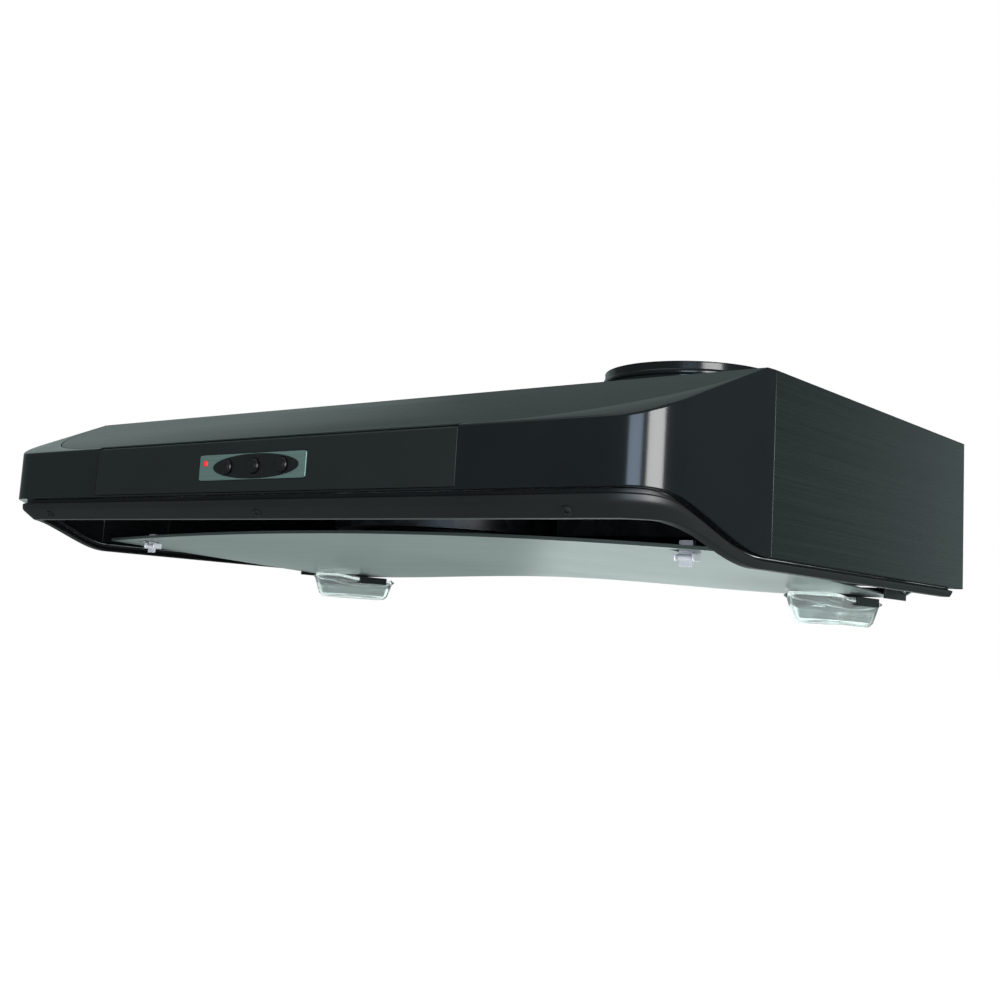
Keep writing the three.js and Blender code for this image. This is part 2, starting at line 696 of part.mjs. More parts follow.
// ---- Collector pan ----
// Underside of the pan: it rises to the front, and its gutter near the wall falls towards both cups.
function panZ(x, y) {
  const frontZ = panFrontRise - 9.5 * (x / 345) ** 2;
  const gutterZ = 3.3 - 8 * Math.sin(Math.PI / 2 * x / cupX) ** 2;
  if (y > gutterY) return bottomZ + gutterZ + panRearRise * ((y - gutterY) / (panRearY - gutterY)) ** 2;
  const t = (y - panFrontY) / (gutterY - panFrontY);
  return bottomZ + frontZ * (1 - t) + gutterZ * t;
}

function collectorPan() {
  const columns = steps(24).map((t) => panHalfWidth * (2 * t - 1));
  const toGutter = steps(6).map((t) => panFrontY + (gutterY - panFrontY) * t);
  const toWall = steps(4).slice(1).map((t) => gutterY + (panRearY - gutterY) * t);
  const rows = [panFrontY, panFrontY + 3, ...toGutter.slice(1), ...toWall];
  const rings = columns.map((x) => {
    const under = rows.map((y) => [x, y, panZ(x, y)]);
    const over = rows.map((y, k) => [x, y, panZ(x, y) + (k < 2 ? 2.6 : 1.2)]).reverse();
    return [...under, ...over];
  });
  const drains = sides.map(([, sign]) => rod(7, sign * cupX, gutterY, bottomZ - 20, bottomZ + 10, 20));
  const slots = sides.map(([, sign]) => block(sign * latchX - 6.5, sign * latchX + 6.5, latchY - 13.5,
    latchY + 2.8, bottomZ, bottomZ + 30));
  return cut(loft(rings), ...drains, ...slots);
}

// An ear that stands on the pan and carries the hinge pin.
function hingeArm(sign) {
  const x0 = sign > 0 ? 338 : -341;
  const base = hingeZ - 3.3;
  const bar = block(x0, x0 + 3, hingeY - 22, hingeY + 6, base, hingeZ + 5);
  const footX = sign > 0 ? x0 - 7 : x0 + 2;
  const foot = block(footX, footX + 8, hingeY - 22, hingeY - 8, base, base + 1.4);
  return cut(joined(bar, foot), rodAlongX(2.1, hingeY, hingeZ, x0 - 5, x0 + 8));
}

function hingePin(sign) {
  const x0 = sign > 0 ? 337 : -353;
  return rodAlongX(1.8, hingeY, hingeZ, x0, x0 + 16, 20);
}

// The bracket that takes the pin: it hangs from the fold of the side panel, outside the pan's edge.
function hingeBracket(sign) {
  const rearY = hingeY + 7;
  const frontEdge = rearY - 42;
  const plate = block(349, 351, frontEdge, rearY, hingeZ - 7.5, bottomZ + 22);
  const arm = block(349, 378.5, rearY - 24, rearY, bottomZ + 20.5, bottomZ + 22);
  const hook = block(377, 378.5, rearY - 24, rearY, bottomZ + 9.6, bottomZ + 22);
  const bracket = cut(joined(plate, arm, hook), rodAlongX(2.2, hingeY, hingeZ, 340, 360));
  return sign > 0 ? bracket : toGeometry(toSolid(bracket).mirror([1, 0, 0]));
}

// ---- Pan latches: each hangs under the pan and hooks over a ledge through a slot in it ----
function latchPost(sign) {
  const x = sign * latchX;
  const strap = block(x - 6, x + 6, latchY + 14, latchY + 15.5, ledgeTopZ - 1.5, -sheet - gap);
  const ledge = block(x - 6, x + 6, latchTipY + 0.4, latchY + 15.5, ledgeTopZ - 1.5, ledgeTopZ);
  return joined(strap, ledge);
}

function latchBracket(sign) {
  const x = sign * latchX;
  const top = panZ(latchX + 8, latchY + 6) - 0.3;
  const ears = [-8, 6.6].map((side) => {
    const x0 = x + side;
    return block(x0, x0 + 1.4, latchY - 4, latchY + 6, latchZ - 2.6, top);
  });
  const strap = block(x - 8, x + 8, latchY + 4.2, latchY + 6, top - 1.2, top);
  const pin = rodAlongX(1, latchY, latchZ, x - 8, x + 8, 12);
  return joined(strap, ...ears, pin);
}

function panLatch(sign) {
  const x = sign * latchX;
  const plate = block(x - 5.5, x + 5.5, latchY - 0.6, latchY + 0.6, bottomZ + 1, ledgeTopZ + 1.8);
  const nose = block(x - 5.5, x + 5.5, latchY - 0.6, latchTipY, ledgeTopZ + gap, ledgeTopZ + 1.8);
  const barrel = rodAlongX(2.2, latchY, latchZ, x - 5.5, x + 5.5, 20);
  return cut(joined(plate, nose, barrel), rodAlongX(1.3, latchY, latchZ, x - 7, x + 7, 12));
}

// ---- Oil cups ----
// A rounded rectangle in plan, as [x, y, z] points in order round it.
function roundedRing(x0, x1, y0, y1, radius, z) {
  const corners = [[x1 - radius, y1 - radius, 0], [x0 + radius, y1 - radius, 90],
    [x0 + radius, y0 + radius, 180], [x1 - radius, y0 + radius, 270]];
  return corners.flatMap(([cx, cy, start]) => steps(4).map((t) => {
    const angle = (start + 90 * t) * Math.PI / 180;
    return [cx + radius * Math.cos(angle), cy + radius * Math.sin(angle), z];
  }));
}

// The front of the brim rises with the pan above it.
function brimRise(y) {
  return 3.2 * Math.max(0, (cupFrontY + 23 - y) / 23) ** 1.5;
}

function oilCup(sign) {
  const x = sign * cupX;
  const ring = (halfX, front, rear, radius, z, lift = 0) => {
    const flat = roundedRing(x - halfX, x + halfX, cupFrontY + front, cupRearY - rear, radius, z);
    const split = flat.flatMap((point, k) => {
      const next = flat[(k + 1) % flat.length];
      return Math.abs(next[1] - point[1]) < 30 ? [point] : [point, [point[0], cupFrontY + 23, z]];
    });
    return split.map(([px, py, pz]) => [px, py, pz + lift * brimRise(py)]);
  };
  return loft([
    ring(17, 12, 10, 7, cupBottomZ), ring(21, 6, 5, 9, cupBottomZ + 4), ring(25, 0.5, 1, 10, cupTopZ - 5, 1),
    ring(27.6, 0, 0, 11, cupTopZ - 3.8, 1), ring(27.6, 0, 0, 11, cupTopZ - 2.4, 1),
    ring(25, 1.5, 2, 10, cupTopZ, 1), ring(23, 3, 4, 9, cupTopZ, 1), ring(23, 3, 4, 9, cupTopZ - 4, 1),
    ring(19, 8.5, 7.5, 8, cupBottomZ + 5), ring(15.5, 14, 12, 6, cupBottomZ + 2),
  ]);
}

// Two short rails under a thin plate; the cup's brim slides in them.
function cupBracket(sign) {
  const x = sign * cupX;
  const top = cupTopZ + 1.2;
  const lipTop = cupTopZ - 4.7;
  const y0 = cupFrontY + 25;
  const y1 = cupRearY - 23;
  const plate = block(x - 31, x + 31, y0, y1, top - 0.8, top);
  const rails = [-1, 1].map((side) => {
    const outer = x + side * 31;
    const wall = side > 0 ? [outer - 2, outer] : [outer, outer + 2];
    const lip = side > 0 ? [outer - 4.6, outer] : [outer, outer + 4.6];
    const lipZ = lipTop - 1.4;
    return joined(block(wall[0], wall[1], y0, y1, lipZ, top), block(lip[0], lip[1], y0, y1, lipZ, lipTop));
  });
  return cut(joined(plate, ...rails), rod(9, x, gutterY, top - 5, top + 5, 20));
}

// ---- Assembly ----
addPart('housing_shell', housingShell(), finish.blackSatin);
addPart('sloping_cover', slopingCover(), finish.blackPaint);
addPart('front_fascia', frontFascia(), finish.blackPaint);
addPart('lower_rim', lowerRim(), finish.blackSatin);
screwPlaces.forEach(([x, place]) => addPart(`rim_screw_${place}`, rimScrew(x), finish.blackSatin));
addPart('control_panel', controlPanel(), finish.blackPlastic);
addPart('label_plate', labelPlate(), finish.aluminium);
addPart('button_bezel', buttonBezel(), finish.blackPlastic);
buttonPlaces.forEach(([x, name]) => addPart(name, pushButton(x), finish.blackPlastic));
addPart('led_lens', ledLens(), finish.redPlastic);
addPart('switch_board', switchBoard(), finish.greenBoard);
addPart('front_liner', frontLiner(), finish.blackSatin);
addPart('blower_scroll', blowerScroll(), finish.zinc);
addPart('inlet_ring', inletRing(), finish.blackPlastic);
addPart('wheel_plate', wheelPlate(), finish.zinc);
addPart('wheel_blades', wheelBlades(), finish.zinc);
addPart('motor_shaft', motorShaft(), finish.chrome);
addPart('blower_motor', blowerMotor(), finish.motorSteel);
addPart('blower_hanger', blowerHanger(), finish.zinc);
addPart('run_capacitor', runCapacitor(), finish.brownFilm);
addPart('terminal_box', terminalBox(), finish.zinc);
addPart('terminal_cover', terminalCover(), finish.zinc);
addPart('cable_gland', cableGland(), finish.blackPlastic);
addPart('outlet_box', outletBox(), finish.zinc);
addPart('duct_collar', ductCollar(), finish.blackPaint);
addPart('damper_pin', damperPin(), finish.zinc);
addPart('collector_pan', collectorPan(), finish.stainless);
sides.forEach(([side, sign]) => {
  addPart(`side_panel_${side}`, sidePanel(sign), finish.blackSatin);
  addPart(`lamp_housing_${side}`, lampHousing(sign), finish.aluminium);
  addPart(`lamp_lens_${side}`, lampLens(sign), finish.glass);
  addPart(`lamp_bulb_${side}`, lampBulb(sign), finish.glass);
  addPart(`damper_flap_${side}`, damperFlap(sign), finish.zinc);
  addPart(`hinge_arm_${side}`, hingeArm(sign), finish.blackSatin);
  addPart(`hinge_pin_${side}`, hingePin(sign), finish.zinc);
  addPart(`hinge_bracket_${side}`, hingeBracket(sign), finish.blackSatin);
  addPart(`latch_post_${side}`, latchPost(sign), finish.blackSatin);
  addPart(`latch_bracket_${side}`, latchBracket(sign), finish.chrome);
  addPart(`pan_latch_${side}`, panLatch(sign), finish.chrome);
  addPart(`cup_bracket_${side}`, cupBracket(sign), finish.blackPlastic);
  addPart(`oil_cup_${side}`, oilCup(sign), finish.clearPlastic);
});

export default group;
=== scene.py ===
# Under cabinet range hood: the looks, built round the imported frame.
# Metres, +Z up, -Y is the front, the origin is the middle of the flat top.
import json
import math
import bmesh
import bpy
import numpy as np
from mathutils import Matrix, Vector


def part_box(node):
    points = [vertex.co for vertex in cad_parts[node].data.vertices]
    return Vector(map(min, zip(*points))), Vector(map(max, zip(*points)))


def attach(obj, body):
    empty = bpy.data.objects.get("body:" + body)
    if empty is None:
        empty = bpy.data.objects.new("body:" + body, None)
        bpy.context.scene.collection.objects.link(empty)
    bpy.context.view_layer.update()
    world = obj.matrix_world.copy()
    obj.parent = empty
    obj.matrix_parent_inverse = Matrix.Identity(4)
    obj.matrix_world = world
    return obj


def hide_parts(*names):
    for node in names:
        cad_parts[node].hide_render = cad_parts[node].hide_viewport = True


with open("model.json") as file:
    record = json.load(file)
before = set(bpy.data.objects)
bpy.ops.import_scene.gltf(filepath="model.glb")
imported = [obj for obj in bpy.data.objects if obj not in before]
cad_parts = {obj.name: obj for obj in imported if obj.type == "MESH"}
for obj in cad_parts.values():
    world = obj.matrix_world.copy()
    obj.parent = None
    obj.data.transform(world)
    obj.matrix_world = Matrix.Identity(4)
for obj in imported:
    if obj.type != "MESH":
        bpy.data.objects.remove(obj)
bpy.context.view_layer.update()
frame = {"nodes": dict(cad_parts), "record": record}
print("frame loaded,", len(frame["nodes"]), "nodes")

sides = (("left", -1), ("right", 1))


def surfaceObject(name, points, loopAcross=True, loopAlong=False, capped=True, sharp=38):
    return meshObject(name, [gridIsland(points, loopAcross, loopAlong, capped)], sharp)


def meshObject(name, islands, sharp=38):
    # islands: (places, faces) of each closed shell in the piece
    mesh = bpy.data.meshes.new(name)
    vertices, faces, start = [], [], 0
    for places, corners in islands:
        vertices.append(places)
        faces += [[start + corner for corner in face] for face in corners]
        start += len(places)
    mesh.from_pydata(np.concatenate(vertices).tolist(), [], faces)
    shell = bmesh.new()
    shell.from_mesh(mesh)
    bmesh.ops.remove_doubles(shell, verts=shell.verts, dist=1e-7)
    bmesh.ops.recalc_face_normals(shell, faces=shell.faces)
    shell.to_mesh(mesh)
    shell.free()
    mesh.polygons.foreach_set("use_smooth", np.ones(len(mesh.polygons), dtype=bool))
    mesh.set_sharp_from_angle(angle=math.radians(sharp))
    piece = bpy.data.objects.new(name, mesh)
    bpy.context.scene.collection.objects.link(piece)
    return piece


def gridIsland(points, loopAcross=True, loopAlong=False, capped=True):
    # points[i, j]: station i along the path, place j on the profile. Each quad joins (i, j), (i, j+1),
    # (i+1, j+1), (i+1, j); the caps are one face over the first and one over the last profile
    rows, columns = points.shape[:2]
    index = np.arange(rows * columns).reshape(rows, columns)
    wide = np.concatenate([index, index[:, :1]], axis=1) if loopAcross else index
    tall = np.concatenate([wide, wide[:1]], axis=0) if loopAlong else wide
    quads = np.stack([tall[:-1, :-1], tall[:-1, 1:], tall[1:, 1:], tall[1:, :-1]], axis=-1)
    faces = quads.reshape(-1, 4).tolist()
    if capped and not loopAlong:
        faces += [index[0].tolist(), index[-1].tolist()]
    return points.reshape(-1, 3), faces


def softCorners(corners, radius, count=6):
    # each corner P of a closed outline becomes the curve (1-t)^2 A + 2t(1-t) P + t^2 B, A and B being radius
    # away along its two sides, and never more than half a side away; corners[..., place, axis]
    corners = np.asarray(corners, float)
    radius = np.broadcast_to(np.asarray(radius, float), corners.shape[:-1])[..., None]
    before = np.roll(corners, 1, axis=-2) - corners
    after = np.roll(corners, -1, axis=-2) - corners
    lengthBefore = np.maximum(np.linalg.norm(before, axis=-1, keepdims=True), 1e-9)
    lengthAfter = np.maximum(np.linalg.norm(after, axis=-1, keepdims=True), 1e-9)
    reach = np.minimum(radius, 0.49 * np.minimum(lengthBefore, lengthAfter))
    first = (corners + before / lengthBefore * reach)[..., None, :]
    last = (corners + after / lengthAfter * reach)[..., None, :]
    middle = corners[..., None, :]
    t = np.linspace(0, 1, count)[:, None]
    curve = (1 - t) ** 2 * first + 2 * t * (1 - t) * middle + t ** 2 * last
    return curve.reshape(corners.shape[:-2] + (-1, corners.shape[-1]))


def outwardNormals(outline):
    # at right angles to the line through both neighbours, pointing away from the inside
    along = np.roll(outline, -1, axis=0) - np.roll(outline, 1, axis=0)
    normals = np.stack([along[:, 1], -along[:, 0]], axis=1)
    normals /= np.linalg.norm(normals, axis=1, keepdims=True)
    x, y = outline[:, 0], outline[:, 1]
    turning = np.sum(x * np.roll(y, -1) - np.roll(x, -1) * y)
    return normals * np.sign(turning)


def plateRings(outline, low, high, edge, count=4):
    # rings (outline pulled in by e(1-sin a), height low + e(1-cos a)) and the same again at the top, a from 0
    # to a quarter turn, so both rims are quarter rounds of radius e
    normals = outwardNormals(outline)
    angle = np.linspace(0, math.pi / 2, count)
    inset = np.concatenate([edge * (1 - np.sin(angle)), edge * (1 - np.cos(angle))])
    height = np.concatenate([low + edge * (1 - np.cos(angle)), high - edge * (1 - np.sin(angle))])
    flat = outline[None] - inset[:, None, None] * normals[None]
    tall = np.broadcast_to(height[:, None, None], flat.shape[:2] + (1,))
    return np.concatenate([flat, tall], axis=2)


upright = np.eye(3)
facingFront = np.array([[1, 0, 0], [0, 0, 1], [0, -1, 0]], float)  # plate u, v, w to +X, +Z, -Y


def turnedRings(profile, centre, axes=upright, count=96):
    # profile of (radius, height) turned about the height axis: (r cos a, r sin a, h), then set at the centre
    angle = np.linspace(0, 2 * math.pi, count, endpoint=False)
    profile = np.asarray(profile, float)
    x = profile[:, :1] * np.cos(angle)
    y = profile[:, :1] * np.sin(angle)
    z = np.broadcast_to(profile[:, 1:], x.shape)
    return np.stack([x, y, z], axis=2) @ axes + np.asarray(centre, float)


def boxCentre(node):
    low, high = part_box(node)
    return (low + high) / 2


def smoothStep(value, start, end):
    t = np.clip((value - start) / (end - start), 0, 1)
    return t * t * (3 - 2 * t)


class Wire:
    # one output socket of a material's node tree, with arithmetic
    def __init__(self, tree, socket):
        self.tree = tree
        self.socket = socket

    def make(self, kind, settings, values, out=0):
        node = self.tree.nodes.new(kind)
        for key, value in settings.items():
            if key == "stops":
                ramp = node.color_ramp.elements
                while len(ramp) < len(value):
                    ramp.new(0.5)
                for element, (place, shade) in zip(ramp, value):
                    element.position = place
                    element.color = shade if isinstance(shade, tuple) else (shade, shade, shade, 1)
            else:
                setattr(node, key, value)
        for key, value in values.items():
            if isinstance(value, Wire):
                self.tree.links.new(value.socket, node.inputs[key])
            else:
                node.inputs[key].default_value = value
        return Wire(self.tree, node.outputs[out])

    def math(self, operation, first, second):
        return self.make("ShaderNodeMath", {"operation": operation}, {0: first, 1: second})

    def __add__(self, other):
        return self.math("ADD", self, other)

    def __radd__(self, other):
        return self.math("ADD", other, self)

    def __sub__(self, other):
        return self.math("SUBTRACT", self, other)

    def __rsub__(self, other):
        return self.math("SUBTRACT", other, self)

    def __mul__(self, other):
        return self.math("MULTIPLY", self, other)

    def __rmul__(self, other):
        return self.math("MULTIPLY", other, self)

    def stretched(self, scale, turn=(0, 0, 0)):
        return self.make("ShaderNodeMapping", {}, {"Vector": self, "Scale": scale, "Rotation": turn})

    def noise(self, scale, detail=2.0, rough=0.5):
        values = {"Vector": self, "Scale": scale, "Detail": detail, "Roughness": rough}
        return self.make("ShaderNodeTexNoise", {}, values, "Fac")

    def ramp(self, *stops):
        return self.make("ShaderNodeValToRGB", {"stops": stops}, {"Fac": self})

    def blendColours(self, first, second):
        values = {0: self, 6: first, 7: second}
        return self.make("ShaderNodeMix", {"data_type": "RGBA"}, values, 2)

    def bump(self, strength, distance):
        values = {"Height": self, "Strength": strength, "Distance": distance}
        return self.make("ShaderNodeBump", {}, values)


def startMaterial(name):
    # an empty tree with its output and shader; hands back material, shader node and Object coordinates
    material = bpy.data.materials.new(name)
    material.use_nodes = True
    tree = material.node_tree
    tree.nodes.clear()
    output = tree.nodes.new("ShaderNodeOutputMaterial")
    shader = tree.nodes.new("ShaderNodeBsdfPrincipled")
    tree.links.new(shader.outputs[0], output.inputs[0])
    place = tree.nodes.new("ShaderNodeTexCoord")
    return material, shader, Wire(tree, place.outputs["Object"])


def finishShader(shader, sockets):
    for key, value in sockets.items():
        if isinstance(value, Wire):
            value.tree.links.new(value.socket, shader.inputs[key])
        else:
            shader.inputs[key].default_value = value


def shade(red, green, blue):
    return (red, green, blue, 1.0)


glossBlack = {
    "deep": shade(0.0022, 0.003, 0.0034), "worn": shade(0.004, 0.0052, 0.0056), "peel": 700, "gloss": 0.12}


def makeGlossBlack():
    material, shader, place = startMaterial("baked_gloss_black")
    peel = place.noise(glossBlack["peel"], 2)
    cloud = place.noise(14, 3)
    dust = place.noise(2600, 1).ramp((0.66, 0), (0.74, 1))
    colour = cloud.blendColours(glossBlack["deep"], glossBlack["worn"])
    finishShader(shader, {
        "Base Color": colour, "Roughness": glossBlack["gloss"] + 0.06 * cloud + 0.10 * dust,
        "Specular IOR Level": 0.34, "Normal": (peel + 0.5 * cloud).bump(0.05, 0.0002)})
    return material


brushedBlack = {"deep": shade(0.001, 0.0016, 0.0017), "light": shade(0.0045, 0.0065, 0.0065)}


def makeBrushedBlack():
    # fine lines run front to back along the side panels
    material, shader, place = startMaterial("brushed_black_steel")
    fine = place.stretched((1, 6, 1500)).noise(1.0, 3, 0.6)
    broad = place.stretched((1, 2.5, 260)).noise(1.0, 2)
    cloud = place.noise(9, 2)
    grain = (0.65 * fine + 0.35 * broad).ramp((0.34, 0), (0.70, 1))
    finishShader(shader, {
        "Base Color": grain.blendColours(brushedBlack["deep"], brushedBlack["light"]),
        "Roughness": 0.20 + 0.12 * fine + 0.05 * cloud, "Specular IOR Level": 0.30,
        "Normal": grain.bump(0.16, 0.00012)})
    return material


satinBlack = {"deep": shade(0.0028, 0.0036, 0.0037), "light": shade(0.0055, 0.0068, 0.0068)}


def makeSatinBlack():
    material, shader, place = startMaterial("satin_black_coat")
    grit = place.noise(1500, 2, 0.6)
    cloud = place.noise(11, 3)
    finishShader(shader, {
        "Base Color": cloud.blendColours(satinBlack["deep"], satinBlack["light"]),
        "Roughness": 0.36 + 0.10 * grit + 0.06 * cloud, "Specular IOR Level": 0.45,
        "Normal": grit.bump(0.10, 0.00015)})
    return material


def makeCoverLacquer():
    # dark lacquer over brushed steel: the lines run across the hood
    material, shader, place = startMaterial("cover_lacquer")
    lines = place.stretched((5, 900, 900)).noise(1.0, 3, 0.55)
    cloud = place.noise(7, 3)
    smear = place.stretched((3, 12, 12), (0, 0, 0.5)).noise(1.0, 3)
    colour = cloud.blendColours(shade(0.006, 0.011, 0.0095), shade(0.012, 0.019, 0.0165))
    finishShader(shader, {
        "Base Color": colour, "Roughness": 0.19 + 0.09 * lines + 0.08 * smear, "Specular IOR Level": 0.36,
        "Normal": lines.bump(0.05, 0.0001)})
    return material


def makeTexturedPlastic():
    material, shader, place = startMaterial("textured_black_plastic")
    cells = place.make("ShaderNodeTexVoronoi", {}, {"Vector": place, "Scale": 1700.0}, "Distance")
    grit = place.noise(3200, 2)
    cloud = place.noise(16, 2)
    colour = cloud.blendColours(shade(0.0028, 0.0045, 0.0045), shade(0.0048, 0.0068, 0.0068))
    finishShader(shader, {
        "Base Color": colour, "Roughness": 0.46 + 0.12 * grit, "Specular IOR Level": 0.4,
        "Normal": (cells + 0.5 * grit).bump(0.22, 0.00012)})
    return material


def makeButtonPlastic():
    material, shader, place = startMaterial("polished_black_plastic")
    cloud = place.noise(240, 2)
    finishShader(shader, {
        "Base Color": cloud.blendColours(shade(0.0025, 0.003, 0.0032), shade(0.005, 0.0055, 0.0058)),
        "Roughness": 0.24 + 0.1 * cloud, "Specular IOR Level": 0.35,
        "Normal": place.noise(1800, 1).bump(0.04, 0.0001)})
    return material


def makeSilverLabel():
    material, shader, place = startMaterial("silver_label")
    lines = place.stretched((30, 1, 2600)).noise(1.0, 2)
    finishShader(shader, {
        "Base Color": lines.blendColours(shade(0.10, 0.155, 0.135), shade(0.20, 0.30, 0.27)),
        "Metallic": 0.75, "Roughness": 0.40 + 0.15 * lines, "Normal": lines.bump(0.08, 0.0001)})
    return material


def makeRedLens():
    material, shader, place = startMaterial("red_lens")
    cloud = place.noise(900, 2)
    glow = cloud.blendColours(shade(0.5, 0.01, 0.01), shade(1, 0.03, 0.03))
    finishShader(shader, {
        "Base Color": cloud.blendColours(shade(0.30, 0.008, 0.008), shade(0.55, 0.02, 0.02)),
        "Roughness": 0.08 + 0.06 * cloud, "Emission Color": glow,
        "Emission Strength": 0.25})
    return material


def makeBoard():
    material, shader, place = startMaterial("solder_mask")
    tracks = place.make("ShaderNodeTexBrick", {}, {"Vector": place, "Scale": 160.0}, "Fac")
    cloud = place.noise(300, 2)
    finishShader(shader, {
        "Base Color": tracks.blendColours(shade(0.006, 0.05, 0.018), shade(0.02, 0.11, 0.04)),
        "Roughness": 0.35 + 0.1 * cloud, "Normal": tracks.bump(0.2, 0.0001)})
    return material


def makeZinc():
    # spangle: cells of slightly different grey and gloss
    material, shader, place = startMaterial("zinc_sheet")
    cells = place.make("ShaderNodeTexVoronoi", {}, {"Vector": place, "Scale": 110.0}, "Color")
    tone = cells.make("ShaderNodeSeparateColor", {}, {0: cells}, 0)
    haze = place.noise(30, 4)
    mixed = 0.6 * tone + 0.4 * haze
    finishShader(shader, {
        "Base Color": mixed.blendColours(shade(0.09, 0.095, 0.10), shade(0.17, 0.18, 0.185)),
        "Metallic": 0.95, "Roughness": 0.32 + 0.16 * tone + 0.06 * haze,
        "Normal": (tone + haze).bump(0.06, 0.0002)})
    return material


def makeMotorSteel():
    material, shader, place = startMaterial("motor_steel")
    lines = place.stretched((1, 1, 60)).noise(20, 3)
    cloud = place.noise(35, 3)
    finishShader(shader, {
        "Base Color": cloud.blendColours(shade(0.07, 0.072, 0.075), shade(0.15, 0.152, 0.157)),
        "Metallic": 0.85, "Roughness": 0.38 + 0.18 * lines, "Normal": (lines + cloud).bump(0.1, 0.0002)})
    return material


def makeShaftSteel():
    material, shader, place = startMaterial("ground_steel")
    lines = place.stretched((1, 1, 1)).noise(1400, 2)
    finishShader(shader, {
        "Base Color": lines.blendColours(shade(0.50, 0.505, 0.515), shade(0.64, 0.645, 0.655)),
        "Metallic": 1.0, "Roughness": 0.16 + 0.14 * lines, "Normal": lines.bump(0.05, 0.0001)})
    return material


stainless = {"dark": shade(0.24, 0.285, 0.275), "light": shade(0.60, 0.655, 0.635)}


def makeStainless():
    # grain across the hood, with rolled streaks and soft finger haze
    material, shader, place = startMaterial("brushed_stainless")
    fine = place.stretched((9, 2200, 2200)).noise(1.0, 3, 0.6)
    streak = place.stretched((2, 140, 140)).noise(1.0, 3)
    haze = place.noise(6, 3)
    grain = 0.6 * fine + 0.4 * streak
    finishShader(shader, {
        "Base Color": grain.blendColours(stainless["dark"], stainless["light"]), "Metallic": 1.0,
        "Roughness": 0.24 + 0.16 * fine + 0.08 * haze,
        "Normal": grain.bump(0.07, 0.0001)})
    return material


def makeChrome():
    material, shader, place = startMaterial("bright_chrome")
    cloud = place.noise(180, 3)
    finishShader(shader, {
        "Base Color": cloud.blendColours(shade(0.62, 0.64, 0.68), shade(0.74, 0.76, 0.79)),
        "Metallic": 0.45, "Roughness": 0.12 + 0.10 * cloud, "Normal": cloud.bump(0.03, 0.0001)})
    return material


def makeLampAluminium():
    material, shader, place = startMaterial("spun_aluminium")
    cloud = place.noise(500, 2)
    finishShader(shader, {
        "Base Color": cloud.blendColours(shade(0.55, 0.56, 0.57), shade(0.68, 0.69, 0.70)),
        "Metallic": 1.0, "Roughness": 0.2 + 0.15 * cloud, "Normal": cloud.bump(0.04, 0.0001)})
    return material


def makeLampGlass():
    material, shader, place = startMaterial("lamp_glass")
    frost = place.noise(900, 2)
    finishShader(shader, {
        "Base Color": frost.blendColours(shade(0.80, 0.84, 0.84), shade(0.90, 0.93, 0.93)),
        "Roughness": 0.16 + 0.2 * frost, "Transmission Weight": 0.85, "IOR": 1.5,
        "Normal": frost.bump(0.05, 0.0001)})
    return material


def makeClearCup():
    # clear moulding: faint flow lines, a little grey in the wall
    material, shader, place = startMaterial("clear_cup")
    flow = place.noise(60, 3)
    finishShader(shader, {
        "Base Color": flow.blendColours(shade(0.70, 0.78, 0.76), shade(0.82, 0.88, 0.86)),
        "Roughness": 0.03 + 0.06 * flow, "Transmission Weight": 0.92, "IOR": 1.46,
        "Normal": flow.bump(0.10, 0.0008)})
    return material


def makeCapacitorCase():
    material, shader, place = startMaterial("capacitor_case")
    grit = place.noise(800, 2)
    finishShader(shader, {
        "Base Color": grit.blendColours(shade(0.035, 0.022, 0.014), shade(0.06, 0.04, 0.026)),
        "Roughness": 0.4 + 0.15 * grit, "Normal": grit.bump(0.08, 0.0001)})
    return material


slotMaterials = {
    "gloss_black_paint": makeGlossBlack(), "brushed_black_paint": makeBrushedBlack(),
    "satin_black_paint": makeSatinBlack(), "cover_lacquer": makeCoverLacquer(),
    "textured_black_plastic": makeTexturedPlastic(), "black_button_plastic": makeButtonPlastic(),
    "silver_label": makeSilverLabel(), "red_lens": makeRedLens(), "circuit_board": makeBoard(),
    "zinc_steel": makeZinc(), "motor_steel": makeMotorSteel(), "shaft_steel": makeShaftSteel(),
    "brushed_stainless": makeStainless(), "bright_chrome": makeChrome(),
    "lamp_aluminium": makeLampAluminium(), "lamp_glass": makeLampGlass(), "clear_cup": makeClearCup(),
    "capacitor_film": makeCapacitorCase()}
print("materials made:", len(slotMaterials))

nodeSlots = {row["node"]: row["material_slot"] for row in frame["record"]["subparts"]}
for nodeName, nodeObject in frame["nodes"].items():
    for materialSlot in nodeObject.material_slots:
        materialSlot.material = slotMaterials[nodeSlots[nodeName]]


def settle(piece, body, slot, *nodes):
    # a finished piece: its finish, the body it rides on, and the CAD nodes it stands for
    piece.data.materials.append(slotMaterials[slot])
    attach(piece, body)
    if nodes:
        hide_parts(*nodes)
    return piece


shellLow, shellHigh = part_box("housing_shell")
fasciaLow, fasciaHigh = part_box("front_fascia")
coverLow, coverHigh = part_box("sloping_cover")
rimLow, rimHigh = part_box("lower_rim")
hood = {
    "halfWidth": fasciaHigh.x, "frontY": fasciaLow.y, "bottomZ": rimLow.z,
    "creaseY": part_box("side_panel_right")[0].y, "topFrontY": shellLow.y - 0.0003,
    "cornerRadius": 0.041, "cornerStartX": 0.329, "fasciaTop": 0.0844, "fasciaBottom": 0.0408,
    "sideBottom": 0.0074, "rimInset": 0.004, "rimHeight": 0.018, "rimSlant": 0.012, "rimSideSlant": 0.0025,
    "rimLip": 0.008, "gap": 0.0003, "fasciaLip": 0.006,
    "coverCornerX": 0.230, "sheet": 0.0012}
fasciaTopZ = hood["bottomZ"] + hood["fasciaTop"]
fasciaBottomZ = hood["bottomZ"] + hood["fasciaBottom"]
slopeRate = -fasciaTopZ / (hood["topFrontY"] - hood["frontY"])


